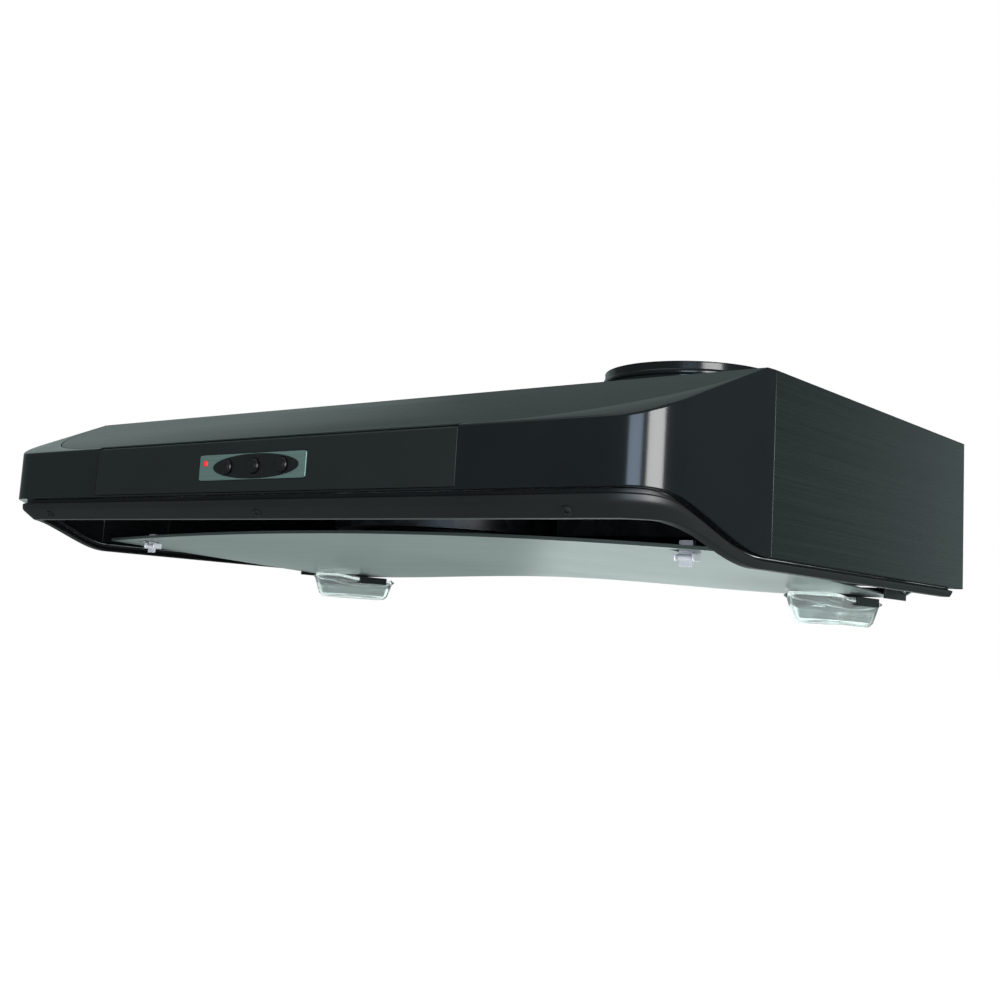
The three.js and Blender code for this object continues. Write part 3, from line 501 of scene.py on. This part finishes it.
def slopeZ(y):
    # straight line from the front edge up to the flat top
    return np.minimum(0, fasciaTopZ + (y - hood["frontY"]) * slopeRate)


def fasciaBottomAt(y):
    # front height blended to the side height by 3t^2 - 2t^3 along the wing; the rim below likewise
    drop = hood["fasciaBottom"] - hood["sideBottom"]
    return fasciaBottomZ - drop * smoothStep(y, hood["creaseY"] - 0.118, hood["creaseY"] + 0.001)


def rimBottomAt(y):
    low = fasciaBottomZ - hood["rimHeight"]
    return low - (low - hood["bottomZ"]) * smoothStep(y, hood["creaseY"] - 0.099, hood["creaseY"] - 0.002)


def rimSlantAt(y):
    change = hood["rimSlant"] - hood["rimSideSlant"]
    return hood["rimSlant"] - change * smoothStep(y, hood["creaseY"] - 0.118, hood["creaseY"] - 0.060)


def wingPath(fromX, toY, straight=30, bend=28, wing=60):
    # plan of the right wing: along the front, an arc of the corner radius, then straight to the crease;
    # columns are x, y and the outward normal
    centreX, centreY = hood["cornerStartX"], hood["frontY"] + hood["cornerRadius"]
    awayX, awayY = hood["halfWidth"] - centreX, hood["creaseY"] - centreY
    endAngle = math.atan2(awayY, awayX) - math.acos(hood["cornerRadius"] / math.hypot(awayX, awayY))
    frontX = np.linspace(fromX, centreX, straight, endpoint=False)
    front = np.stack([frontX, np.full(straight, hood["frontY"]), 0 * frontX, 0 * frontX - 1], axis=1)
    angle = np.linspace(-math.pi / 2, endAngle, bend)
    normal = np.stack([np.cos(angle), np.sin(angle)], axis=1)
    arc = np.concatenate([np.array([centreX, centreY]) + hood["cornerRadius"] * normal, normal], axis=1)
    t = np.linspace(0, 1, wing + 1)[1:, None]
    last = arc[-1:, :2]
    end = np.array([[hood["halfWidth"], toY]])
    line = np.concatenate([last + (end - last) * t, np.repeat(normal[-1:], wing, axis=0)], axis=1)
    return np.concatenate([front, arc, line])


def coverCorner(t):
    # quarter of an ellipse from the cover's front edge round to its side
    reachX = coverHigh.x - hood["coverCornerX"]
    cornerY = hood["topFrontY"] - 0.004
    reachY = cornerY - coverLow.y
    angle = t * math.pi / 2
    x = hood["coverCornerX"] + reachX * np.sin(angle)
    return np.stack([x, cornerY - reachY * np.cos(angle)], axis=-1)


mirrorX = np.array([-1.0, 1, 1])


def wingStations():
    # the right wing's path with what each station needs: (path, cover outline point)
    path = wingPath(hood["coverCornerX"], hood["creaseY"] - 0.0003)
    flangeEnd = hood["topFrontY"] - 0.0015
    inFront = path[:, 1] < flangeEnd
    steps = np.linalg.norm(np.diff(path[:, :2], axis=0), axis=1)
    length = np.concatenate([[0], np.cumsum(steps)])
    cover = coverCorner(np.clip(length / length[inFront][-1], 0, 1))
    away = path[:, :2] - cover
    away /= np.maximum(np.linalg.norm(away, axis=1, keepdims=True), 1e-6)
    cover = cover + away * 0.0008
    tucked = path[:, :2] - path[:, 2:] * hood["sheet"] * 1.05
    cover[~inFront] = tucked[~inFront]
    return path, cover


def fasciaSection(path, cover):
    # up the outer wall, in along the flange to the cover, back under it, down the inside, and round the
    # inward lip at the bottom
    y, normal = path[:, 1], path[:, 2:]
    sheet = hood["sheet"]
    inner = path[:, :2] - normal * sheet
    lip = path[:, :2] - normal * (hood["rimInset"] + hood["fasciaLip"])
    top, bottom = slopeZ(y), fasciaBottomAt(y)
    coverTop = slopeZ(cover[:, 1])
    corners = [
        (path[:, :2], bottom), (path[:, :2], top), (cover, coverTop), (cover, coverTop - sheet),
        (inner, top - sheet * 1.3), (inner, bottom + sheet), (lip, bottom + sheet), (lip, bottom)]
    return np.stack([np.concatenate([flat, z[:, None]], axis=1) for flat, z in corners], axis=1)


fascia = {"foldRadius": 0.0022, "innerRadius": 0.0009, "edgeRadius": 0.00035}


def frontFascia():
    # two wings with the lip that joins them under the control panel
    path, cover = wingStations()
    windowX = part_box("control_panel")[1].x + 0.0003
    first = path[:1].copy()
    first[0, 0] = windowX
    firstCover = np.array([[windowX, coverLow.y - 0.0008]])
    path = np.concatenate([first, path])
    cover = np.concatenate([firstCover, cover])
    section = fasciaSection(path, cover)
    radii = np.array([
        fascia["edgeRadius"] * 3, fascia["foldRadius"], fascia["edgeRadius"], fascia["edgeRadius"],
        fascia["innerRadius"], fascia["innerRadius"], fascia["edgeRadius"], fascia["edgeRadius"]])
    wing = softCorners(section, radii, 6)
    lipX = np.array([-windowX, windowX])
    lipPath = np.stack([lipX, np.full(2, hood["frontY"]), 0 * lipX, 0 * lipX - 1], axis=1)
    lip = fasciaSection(lipPath, np.stack([lipX, np.full(2, coverLow.y)], axis=1))
    lipTop = fasciaBottomZ + 0.0014
    lip[:, 1, 2] = lip[:, 2, 2] = lipTop
    strip = np.stack([lip[:, 0], lip[:, 1], lip[:, 5], lip[:, 6], lip[:, 7]], axis=1)
    strip[:, 2, 2] = lipTop
    strip = softCorners(strip, fascia["edgeRadius"], 4)
    islands = [gridIsland(wing), gridIsland(wing * mirrorX), gridIsland(strip)]
    return settle(meshObject("frontFascia", islands), "housing", "gloss_black_paint", "front_fascia")


rim = {
    "edgeRadius": 0.0011, "bandRadius": 0.0009, "foldRadius": 0.0022, "innerRadius": 0.0005,
    "smallRadius": 0.0002}


def lowerRim():
    # pressed strip: a groove, an upright band, a chamfer leaning inwards, and a flat lip
    half = wingPath(0.0, hood["creaseY"] - 0.0003, straight=60)
    sideY = np.linspace(hood["creaseY"] + 0.004, rimHigh.y, 40)
    side = np.stack([np.full(40, hood["halfWidth"]), sideY, np.ones(40), np.zeros(40)], axis=1)
    half = np.concatenate([half, side])
    left = half[1:][::-1] * np.array([-1, 1, -1, 1])
    path = np.concatenate([left, half])
    y, normal = path[:, 1], path[:, 2:]
    low, slant = rimBottomAt(y), rimSlantAt(y)
    top = fasciaBottomAt(y) - hood["gap"]
    groove = top - 0.15 * (top - low)
    fold = top - 0.5 * (top - low)
    lip = slant + hood["rimLip"]
    flat = 0 * y
    corners = [
        (flat + 0.004, top), (flat + 0.004, groove), (flat, groove - 0.0008), (flat + 0.0005, fold),
        (slant, low), (lip, low), (lip, low + 0.0014), (slant + 0.001, low + 0.0014),
        (flat + 0.0019, fold + 0.0003), (flat + 0.0014, groove - 0.002), (flat + 0.0052, groove - 0.0012),
        (flat + 0.0052, top)]
    inset = hood["rimInset"]
    rings = np.stack([
        np.concatenate([path[:, :2] - normal * (inset + reach)[:, None], z[:, None]], axis=1)
        for reach, z in corners], axis=1)
    small, inner = rim["smallRadius"], rim["innerRadius"]
    radii = np.array([
        small, small, rim["bandRadius"], rim["foldRadius"], rim["edgeRadius"], small, small, inner,
        inner, inner, small, small])
    piece = surfaceObject("lowerRim", softCorners(rings, radii, 6))
    return settle(piece, "housing", "satin_black_paint", "lower_rim")


cover = {"edge": 0.0005, "corner": 72}


def slopingCover():
    # the outline pulled in by the edge round, each ring dropped onto the sloping plane
    t = np.linspace(0, 1, cover["corner"])
    corner = coverCorner(t)
    right = np.concatenate([corner, [[coverHigh.x, coverHigh.y]]])
    outline = np.concatenate([right, (right * np.array([-1, 1]))[::-1]])
    rings = plateRings(outline, -hood["sheet"], 0, cover["edge"], 4)
    rings[..., 2] += slopeZ(rings[..., 1])
    return settle(surfaceObject("slopingCover", rings), "housing", "cover_lacquer", "sloping_cover")


refined = {"mergeWithin": 2e-6, "flatWithin": 0.6, "segments": 2, "edgeAngle": 32}


def refinedCopy(node, piece, body, width):
    # a copy of the node's mesh with its doubles merged, flat faces dissolved and every edge rounded
    mesh = frame["nodes"][node].data.copy()
    mesh.name = piece
    shell = bmesh.new()
    shell.from_mesh(mesh)
    bmesh.ops.remove_doubles(shell, verts=shell.verts, dist=refined["mergeWithin"])
    flat = math.radians(refined["flatWithin"])
    bmesh.ops.dissolve_limit(shell, angle_limit=flat, verts=shell.verts, edges=shell.edges)
    shell.to_mesh(mesh)
    shell.free()
    mesh.polygons.foreach_set("use_smooth", np.ones(len(mesh.polygons), dtype=bool))
    sharpFrom = math.radians(refined["edgeAngle"])
    mesh.set_sharp_from_angle(angle=sharpFrom)
    copy = bpy.data.objects.new(piece, mesh)
    bpy.context.scene.collection.objects.link(copy)
    mesh.materials.clear()
    rounding = copy.modifiers.new("edges", "BEVEL")
    rounding.width = width
    rounding.segments = refined["segments"]
    rounding.limit_method = "ANGLE"
    rounding.angle_limit = sharpFrom
    rounding.harden_normals = False
    rounding.use_clamp_overlap = True
    return settle(copy, body, nodeSlots[node], node)


bodyOf = {node: body for body, nodes in frame["record"]["behaviour"]["bodies"].items() for node in nodes}


def camel(name):
    # side_panel_left becomes sidePanelLeft
    first, *rest = name.split("_")
    return first + "".join(word.capitalize() for word in rest)


label = {"edge": 0.00025, "points": 600, "squareness": 26.0}


def labelPlate():
    # a flat ring between a rounded oblong and the oval it frames, matched point for point by angle
    low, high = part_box("label_plate")
    bezelLow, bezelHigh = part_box("button_bezel")
    centreX, centreZ = (bezelLow.x + bezelHigh.x) / 2, (bezelLow.z + bezelHigh.z) / 2
    angle = np.linspace(0, 2 * math.pi, label["points"], endpoint=False)
    radiusX = (bezelHigh.x - bezelLow.x) / 2 + 0.0003
    radiusZ = (bezelHigh.z - bezelLow.z) / 2 + 0.0003
    inner = np.stack([centreX + radiusX * np.cos(angle), centreZ + radiusZ * np.sin(angle)], axis=1)
    midX, midZ = (low.x + high.x) / 2, (low.z + high.z) / 2
    halfX, halfZ = (high.x - low.x) / 2, (high.z - low.z) / 2
    away = inner - np.array([midX, midZ])
    power = label["squareness"]
    ratio = np.abs(away / np.array([halfX, halfZ]))
    grow = np.sum(ratio ** power, axis=1) ** (-1 / power)
    outer = np.array([midX, midZ]) + away * grow[:, None]
    thick = high.y - low.y
    edge = label["edge"]
    outerIn = outer + (inner - outer) * edge / np.linalg.norm(inner - outer, axis=1, keepdims=True)
    rows = [(inner, 0), (inner, thick), (outerIn, thick), (outer, thick - edge), (outer, 0)]
    points = np.stack([
        np.stack([flat[:, 0], np.full(len(flat), high.y - rise), flat[:, 1]], axis=1) for flat, rise in rows])
    piece = surfaceObject("labelPlate", points, loopAcross=True, loopAlong=True)
    return settle(piece, "housing", "silver_label", "label_plate")


button = {"dish": 0.0006, "dishShare": 0.68, "stem": 0.0025, "capDepth": 0.0022}


def pushButtons():
    # a dish whose depth follows cos(r)^1.2, a rounded shoulder, and the stem behind the cap
    for name in ("light", "low", "high"):
        low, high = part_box("button_" + name)
        middle = (low + high) / 2
        radius = (high.x - low.x) / 2
        face, back = -low.y, -high.y
        stem, under = button["stem"], face - button["capDepth"]
        r = np.linspace(0, radius * button["dishShare"], 14)
        dish = np.stack([r, face - button["dish"] * np.cos(r / r[-1] * math.pi / 2) ** 1.2], axis=1)
        shoulder = softCorners([
            (radius * 0.62, face), (radius * 0.9, face - 0.0003), (radius, face - 0.0011), (radius, under),
            (stem, under), (stem, back), (0.0, back), (0.0, face - 0.001)],
            [0.0004, 0.0012, 0.0008, 0.0002, 0.0001, 0.0001, 0, 0], 6)
        shoulder = shoulder[shoulder[:, 0] > radius * button["dishShare"] - 1e-6]
        cap = np.concatenate([dish, shoulder])
        cap = cap[cap[:, 0] > stem + 0.0001]
        profile = np.concatenate([dish[:1], cap, [(stem, under), (stem, back), (0.0, back)]])
        rings = turnedRings(profile, (middle.x, 0, middle.z), facingFront, 64)
        piece = surfaceObject(camel("button_" + name), rings, capped=False)
        settle(piece, bodyOf["button_" + name], "black_button_plastic", "button_" + name)


def ledLens():
    low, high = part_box("led_lens")
    middle = (low + high) / 2
    radius = (high.x - low.x) / 2
    t = np.linspace(0, math.pi / 2, 10)
    dome = np.stack([radius * np.sin(t), -low.y - 0.0012 * (1 - np.cos(t))], axis=1)
    profile = np.concatenate([dome, [(radius, -high.y), (0.0, -high.y)]])
    rings = turnedRings(profile, (middle.x, 0, middle.z), facingFront, 40)
    return settle(surfaceObject("ledLens", rings, capped=False), "housing", "red_lens", "led_lens")


screw = {
    "radius": 0.0039, "dome": 0.0013, "slotHalf": 0.00042, "slotReach": 0.0021, "slotDepth": 0.0011,
    "proud": 0.0001}


def rimScrews():
    # pan head: height = dome (1 - (r / R)^2.6) on a polar grid, less the depth of a cross where |x| or |y|
    # is within half a slot
    radius = np.concatenate([np.linspace(0, 0.7, 24), np.linspace(0.72, 1, 12)]) * screw["radius"]
    angle = np.linspace(0, 2 * math.pi, 96, endpoint=False)
    x = radius[:, None] * np.cos(angle)
    y = radius[:, None] * np.sin(angle)
    ratio = radius / screw["radius"]
    height = np.repeat((0.0004 + screw["dome"] * (1 - ratio ** 2.6))[:, None], len(angle), axis=1)
    slot = (np.minimum(np.abs(x), np.abs(y)) < screw["slotHalf"]) & (radius[:, None] < screw["slotReach"])
    height = np.where(slot, height - screw["slotDepth"], height)
    head = np.stack([x, y, height], axis=2)
    under = np.stack([x[-1], y[-1], 0 * x[-1]], axis=1)[None]
    tip = np.zeros((1, len(angle), 3))
    # the heads stand square on the chamfer, whose two ends are half the rim's height apart
    fallen, inward = hood["rimHeight"] / 2, hood["rimSlant"] - 0.0005
    tilt = math.atan2(fallen, inward)
    lean = np.array(Matrix.Rotation(math.pi - tilt, 3, "X")).T
    seatY = hood["frontY"] + hood["rimInset"] + 0.0005 + inward / 2
    seatZ = fasciaBottomZ - hood["gap"] - 1.5 * fallen
    lift = np.array([0, -math.sin(tilt), -math.cos(tilt)]) * screw["proud"]
    for side in ("left", "centre", "right"):
        seat = np.array([boxCentre("rim_screw_" + side).x, seatY, seatZ]) + lift
        points = np.concatenate([head, under, tip])
        piece = surfaceObject("rimScrew" + side.capitalize(), points @ lean + seat, capped=False)
        settle(piece, "housing", "satin_black_paint", "rim_screw_" + side)


collar = {"flange": 0.008, "wall": 0.0012, "beadDrop": 0.009, "beadReach": 0.0016, "beadHalf": 0.0026,
          "fillet": 0.0025, "lip": 0.0006, "edge": 0.0002, "around": 160}


def ductCollar():
    # foot flange, a small fillet, the tube, and a rolled bead near its top
    low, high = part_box("duct_collar")
    middle = (low + high) / 2
    wall, edge, lip = collar["wall"], collar["edge"], collar["lip"]
    outer = (high.x - low.x) / 2 - collar["flange"]
    inner = outer - wall
    foot = outer + collar["flange"]
    bead = np.linspace(-math.pi / 2, math.pi / 2, 12)
    beadZ = high.z - collar["beadDrop"]
    beadRing = np.stack([
        outer + collar["beadReach"] * np.cos(bead), beadZ + collar["beadHalf"] * np.sin(bead)], axis=1)
    turn = np.linspace(0, math.pi / 2, 8)
    curve = collar["fillet"] * (1 - np.stack([np.sin(turn), np.cos(turn)], axis=1))
    fillet = np.array([outer, low.z + wall]) + curve
    rolled = np.linspace(-0.3 * math.pi, math.pi, 10)
    lipRing = np.stack([inner + lip + lip * np.cos(rolled), high.z - lip + lip * np.sin(rolled)], axis=1)
    profile = np.concatenate([
        [(inner, low.z), (foot - edge, low.z), (foot, low.z + edge), (foot, low.z + wall - edge),
         (foot - edge, low.z + wall)],
        fillet, beadRing, lipRing])
    rings = turnedRings(profile, (middle.x, middle.y, 0), upright, collar["around"])
    piece = surfaceObject("ductCollar", rings, loopAlong=True)
    return settle(piece, "housing", "gloss_black_paint", "duct_collar")


pan = {
    "frontRise": 0.020, "crown": 0.0095, "gutterRise": 0.0033, "gutterFall": 0.008, "rearRise": 0.009,
    "sheet": 0.0012, "hem": 0.0026, "hemDepth": 0.003, "columns": 200, "rows": 90, "gutterFromWall": 0.040,
    "crownHalf": 0.345, "drain": 0.007, "slotHalf": 0.0065, "slotFront": 0.0105, "slotLength": 0.0163,
    "cutterReach": 0.01}


def panUnderside(x, y, low, high, cupX):
    # front rise less a crown across, blended to a gutter that falls to both cups, then part of a
    # parabola up to the wall
    gutterY = high.y - pan["gutterFromWall"]
    frontZ = pan["frontRise"] - pan["crown"] * (x / pan["crownHalf"]) ** 2
    gutterZ = pan["gutterRise"] - pan["gutterFall"] * np.sin(math.pi / 2 * x / cupX) ** 2
    t = (y - low.y) / (gutterY - low.y)
    rear = gutterZ + pan["rearRise"] * ((y - gutterY) / (high.y - gutterY)) ** 2
    return hood["bottomZ"] + np.where(y > gutterY, rear, frontZ * (1 - t) + gutterZ * t)


def prism(outline, low, high):
    # a closed column over the outline
    levels = np.array([low, high])[:, None, None]
    flat = np.broadcast_to(outline[None], (2,) + outline.shape)
    return gridIsland(np.concatenate([flat, np.broadcast_to(levels, flat.shape[:2] + (1,))], axis=2))


def pierce(piece, islands):
    # takes the columns out of the piece, then keeps the plain mesh that is left
    cutter = meshObject("cutter", islands)
    holes = piece.modifiers.new("holes", "BOOLEAN")
    holes.object = cutter
    holes.solver = "EXACT"
    graph = bpy.context.evaluated_depsgraph_get()
    pierced = bpy.data.meshes.new_from_object(piece.evaluated_get(graph))
    piece.modifiers.clear()
    piece.data = pierced
    bpy.data.objects.remove(cutter)
    pierced.set_sharp_from_angle(angle=math.radians(40))


def collectorPan():
    low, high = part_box("collector_pan")
    cupX = boxCentre("oil_cup_right").x
    latchX = boxCentre("pan_latch_right").x
    x = np.linspace(low.x, high.x, pan["columns"])[:, None]
    even = np.linspace(0, 1, pan["rows"])
    rowsY = low.y + (high.y - low.y) * even
    hemY = low.y + pan["hemDepth"]
    rowsY = np.concatenate([[low.y, low.y + 0.0008, hemY - 0.0001, hemY + 0.0001], rowsY[2:]])[None]
    under = panUnderside(x, rowsY, low, high, cupX)
    thick = np.where(rowsY < hemY, pan["hem"], pan["sheet"])
    flat = np.broadcast_arrays(x, rowsY)
    bottom = np.stack([*flat, under], axis=2)
    top = np.stack([*flat, under + thick], axis=2)[:, ::-1]
    points = np.concatenate([bottom, top], axis=1)
    piece = surfaceObject("collectorPan", points, sharp=50)
    angle = np.linspace(0, 2 * math.pi, 48, endpoint=False)
    circle = pan["drain"] * np.stack([np.cos(angle), np.sin(angle)], axis=1)
    slotY = low.y + pan["slotFront"]
    half, length = pan["slotHalf"], pan["slotLength"]
    slotRear = slotY + length
    slot = softCorners([(-half, slotY), (half, slotY), (half, slotRear), (-half, slotRear)], 0.0008)
    bottomZ, topZ = low.z - pan["cutterReach"], high.z + pan["cutterReach"]
    gutterY = high.y - pan["gutterFromWall"]
    columns = []
    for _, sign in sides:
        columns.append(prism(circle + np.array([sign * cupX, gutterY]), bottomZ, topZ))
        columns.append(prism(slot + np.array([sign * latchX, 0]), bottomZ, topZ))
    pierce(piece, columns)
    return settle(piece, "pan", "brushed_stainless", "collector_pan")


cup = {"cornerPoints": 14, "sidePoints": 16, "top": 0.0062, "prow": 0.0032, "prowLength": 0.023}


def roundedRing(middleX, halfX, frontY, rearY, radius, z, lift, prowY):
    # an oblong with quarter circle corners, counter-clockwise from the rear right; the part in front of
    # prowY rises by prow ((prowY - y) / length)^1.5
    corners = (
        (middleX + halfX - radius, rearY - radius, 0), (middleX - halfX + radius, rearY - radius, 90),
        (middleX - halfX + radius, frontY + radius, 180), (middleX + halfX - radius, frontY + radius, 270))
    arcs = []
    for cornerX, cornerY, start in corners:
        angle = np.radians(start + np.linspace(0, 90, cup["cornerPoints"]))
        arcs.append(np.stack([cornerX + radius * np.cos(angle), cornerY + radius * np.sin(angle)], axis=1))
    t = np.linspace(0, 1, cup["sidePoints"] + 2)[1:-1, None]
    rows = []
    for arc, nextArc in zip(arcs, arcs[1:] + arcs[:1]):
        rows += [arc, arc[-1] * (1 - t) + nextArc[0] * t]
    flat = np.concatenate(rows)
    rise = cup["prow"] * (np.clip(prowY - flat[:, 1], 0, None) / cup["prowLength"]) ** 1.5
    return np.concatenate([flat, (z + lift * rise)[:, None]], axis=1)


def oilCups():
    # rings from the middle of the floor up the outside, over the rim and down the inside
    for side, _ in sides:
        low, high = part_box("oil_cup_" + side)
        middleX = (low.x + high.x) / 2
        top = hood["bottomZ"] - cup["top"]
        prowY = low.y + cup["prowLength"]

        def ring(halfX, front, rear, radius, z, lift=0.0):
            return roundedRing(middleX, halfX, low.y + front, high.y - rear, radius, z, lift, prowY)

        rings = np.stack([
            ring(0.015, 0.014, 0.012, 0.006, low.z), ring(0.0185, 0.0095, 0.0085, 0.008, low.z + 0.0008),
            ring(0.021, 0.006, 0.005, 0.009, low.z + 0.004),
            ring(0.0235, 0.003, 0.0025, 0.0098, top - 0.011, 0.5),
            ring(0.0249, 0.0008, 0.0012, 0.010, top - 0.0052, 1),
            ring(0.0274, 0.0001, 0.0001, 0.011, top - 0.0038, 1),
            ring(0.0276, 0.0, 0.0, 0.011, top - 0.0031, 1),
            ring(0.0274, 0.0001, 0.0001, 0.011, top - 0.0024, 1),
            ring(0.0251, 0.0014, 0.0019, 0.010, top - 0.0014, 1),
            ring(0.0249, 0.0016, 0.0021, 0.010, top - 0.0002, 1),
            ring(0.0245, 0.0019, 0.0025, 0.0098, top, 1), ring(0.0232, 0.0029, 0.0038, 0.009, top, 1),
            ring(0.0229, 0.0031, 0.0041, 0.009, top - 0.0004, 1),
            ring(0.0222, 0.0045, 0.005, 0.009, top - 0.008, 0.5),
            ring(0.0192, 0.0082, 0.0075, 0.008, low.z + 0.0052),
            ring(0.0175, 0.0105, 0.0098, 0.0072, low.z + 0.0026),
            ring(0.0150, 0.0142, 0.0124, 0.006, low.z + 0.0018)])
        piece = surfaceObject(camel("oil_cup_" + side), rings, sharp=60)
        settle(piece, bodyOf["oil_cup_" + side], "clear_cup", "oil_cup_" + side)


frontFascia()
lowerRim()
slopingCover()
labelPlate()
pushButtons()
ledLens()
rimScrews()
ductCollar()
print("shell and controls built")
collectorPan()
oilCups()
print("pan and cups built")

edgeWidths = {
    "housing_shell": 0.0004, "side_panel_left": 0.0006, "side_panel_right": 0.0006, "control_panel": 0.0007,
    "button_bezel": 0.0003, "switch_board": 0.0002, "front_liner": 0.0004, "blower_scroll": 0.0004,
    "inlet_ring": 0.0002, "wheel_plate": 0.0004, "wheel_blades": 0.00015, "blower_motor": 0.0006,
    "blower_hanger": 0.0005, "run_capacitor": 0.0006, "terminal_box": 0.0004, "terminal_cover": 0.0004,
    "cable_gland": 0.0004, "outlet_box": 0.0004, "damper_pin": 0.0002, "motor_shaft": 0.0003}
for nodeName, edgeWidth in edgeWidths.items():
    refinedCopy(nodeName, camel(nodeName), bodyOf[nodeName], edgeWidth)
pairedWidths = {
    "lamp_housing": 0.0003, "lamp_lens": 0.0003, "lamp_bulb": 0.0002, "damper_flap": 0.0002,
    "hinge_arm": 0.0007,
    "hinge_pin": 0.0003, "hinge_bracket": 0.0003, "latch_post": 0.0003, "latch_bracket": 0.0002,
    "pan_latch": 0.0003, "cup_bracket": 0.0004}
for nodeName, edgeWidth in pairedWidths.items():
    for side, sign in sides:
        node = nodeName + "_" + side
        refinedCopy(node, camel(node), bodyOf[node], edgeWidth)
print("edges rounded on", len(edgeWidths) + 2 * len(pairedWidths), "pieces")


studio = {"floorZ": -1.5, "floorSize": 60.0, "skyGloss": 0.19, "skyDiffuse": 1.0}


def studioFloor():
    # a wide square at z = floorZ
    size = studio["floorSize"]
    x, y = np.meshgrid(np.linspace(-size, size, 40), np.linspace(-size, size, 40), indexing="ij")
    points = np.stack([x, y, np.full_like(x, studio["floorZ"])], axis=2)
    floor = surfaceObject("studioFloor", points, loopAcross=False, capped=False)
    material, shader, place = startMaterial("pale_floor")
    mottle = place.noise(1.2, 3)
    finishShader(shader, {
        "Base Color": mottle.blendColours(shade(0.92, 0.92, 0.92), shade(0.96, 0.96, 0.96)),
        "Roughness": 0.8 + 0.1 * mottle, "Emission Color": shade(1, 1, 1), "Emission Strength": 0.18})
    floor.data.materials.append(material)
    floor.visible_glossy = False  # polished sheet would show it as a pale band


def softbox(name, place, target, width, height, power, colour=(1, 1, 1)):
    light = bpy.data.lights.new(name, "AREA")
    light.shape = "RECTANGLE"
    light.size, light.size_y = width, height
    light.energy = power
    light.color = colour
    lamp = bpy.data.objects.new(name, light)
    bpy.context.scene.collection.objects.link(lamp)
    lamp.location = place
    lamp.visible_camera = False
    lamp.rotation_euler = (Vector(target) - Vector(place)).to_track_quat("-Z", "Y").to_euler()
    return lamp


def studioLight():
    world = bpy.data.worlds.new("studio")
    bpy.context.scene.world = world
    world.use_nodes = True
    tree = world.node_tree
    tree.nodes.clear()
    output = tree.nodes.new("ShaderNodeOutputWorld")
    sky = tree.nodes.new("ShaderNodeBackground")
    path = tree.nodes.new("ShaderNodeLightPath")
    glossy = Wire(tree, path.outputs["Is Glossy Ray"])
    strength = (1 - glossy) * studio["skyDiffuse"] + glossy * studio["skyGloss"]
    tint = glossy.blendColours(shade(1, 1, 1), shade(0.82, 1.0, 0.97))
    tree.links.new(tint.socket, sky.inputs["Color"])
    tree.links.new(strength.socket, sky.inputs["Strength"])
    tree.links.new(sky.outputs[0], output.inputs["Surface"])
    middle = (0.0, -0.05, -0.07)
    corner = (0.36, -0.27, -0.07)
    corner = (0.36, -0.27, -0.07)
    softbox("cornerSoftbox", (1.75, -0.95, 0.05), corner, 0.80, 1.3, 56)
    softbox("blueSoftbox", (1.22, -1.90, 0.05), corner, 0.75, 1.1, 20, (0.62, 0.78, 1.0))
    softbox("topSoftbox", (-0.3, -0.6, 2.2), middle, 1.8, 1.8, 8)
    softbox("leftSoftbox", (-2.9, 1.2, 0.9), middle, 2.2, 1.6, 2.6, (0.80, 1.0, 0.97))
    softbox("rearSoftbox", (0.93, 2.30, 0.10), (0.38, 0.15, -0.07), 0.50, 1.2, 1.1, (0.72, 1.0, 0.97))
    softbox("panSoftbox", (-2.2, 2.66, -0.75), (0.0, 0.0, -0.13), 3.8, 1.4, 8, (0.86, 1.0, 0.97))
    softbox("panKeySoftbox", (-1.45, 3.0, -0.5), (0.2, 0.0, -0.13), 1.3, 0.9, 4.5, (0.93, 1.0, 0.99))


lens = {
    "place": (0.77371, -0.93334, -0.17618), "yaw": 0.7404, "pitch": 0.1328, "roll": 0.0662,
    "focal": 46.0, "shiftX": 0.0710, "shiftY": -0.0554}


def camera():
    # three quarters from the right, a little below the hood, turned by yaw, raised by pitch, then rolled
    yaw, pitch, roll = lens["yaw"], lens["pitch"], lens["roll"]
    ahead = Vector((-math.sin(yaw), math.cos(yaw), 0))
    right = Vector((math.cos(yaw), math.sin(yaw), 0))
    up = Vector((0, 0, 1))
    view = ahead * math.cos(pitch) + up * math.sin(pitch)
    head = up * math.cos(pitch) - ahead * math.sin(pitch)
    across = right * math.cos(roll) + head * math.sin(roll)
    tall = head * math.cos(roll) - right * math.sin(roll)
    data = bpy.data.cameras.new("camera")
    data.sensor_width = 36
    data.lens = lens["focal"]
    data.shift_x, data.shift_y = lens["shiftX"], lens["shiftY"]
    data.clip_start = 0.01
    eye = bpy.data.objects.new("camera", data)
    bpy.context.scene.collection.objects.link(eye)
    turn = Matrix((across, tall, -view)).transposed().to_4x4()
    eye.matrix_world = Matrix.Translation(Vector(lens["place"])) @ turn
    bpy.context.scene.camera = eye


studioFloor()
studioLight()
camera()
bpy.context.scene.view_settings.view_transform = "Standard"
print("studio ready")
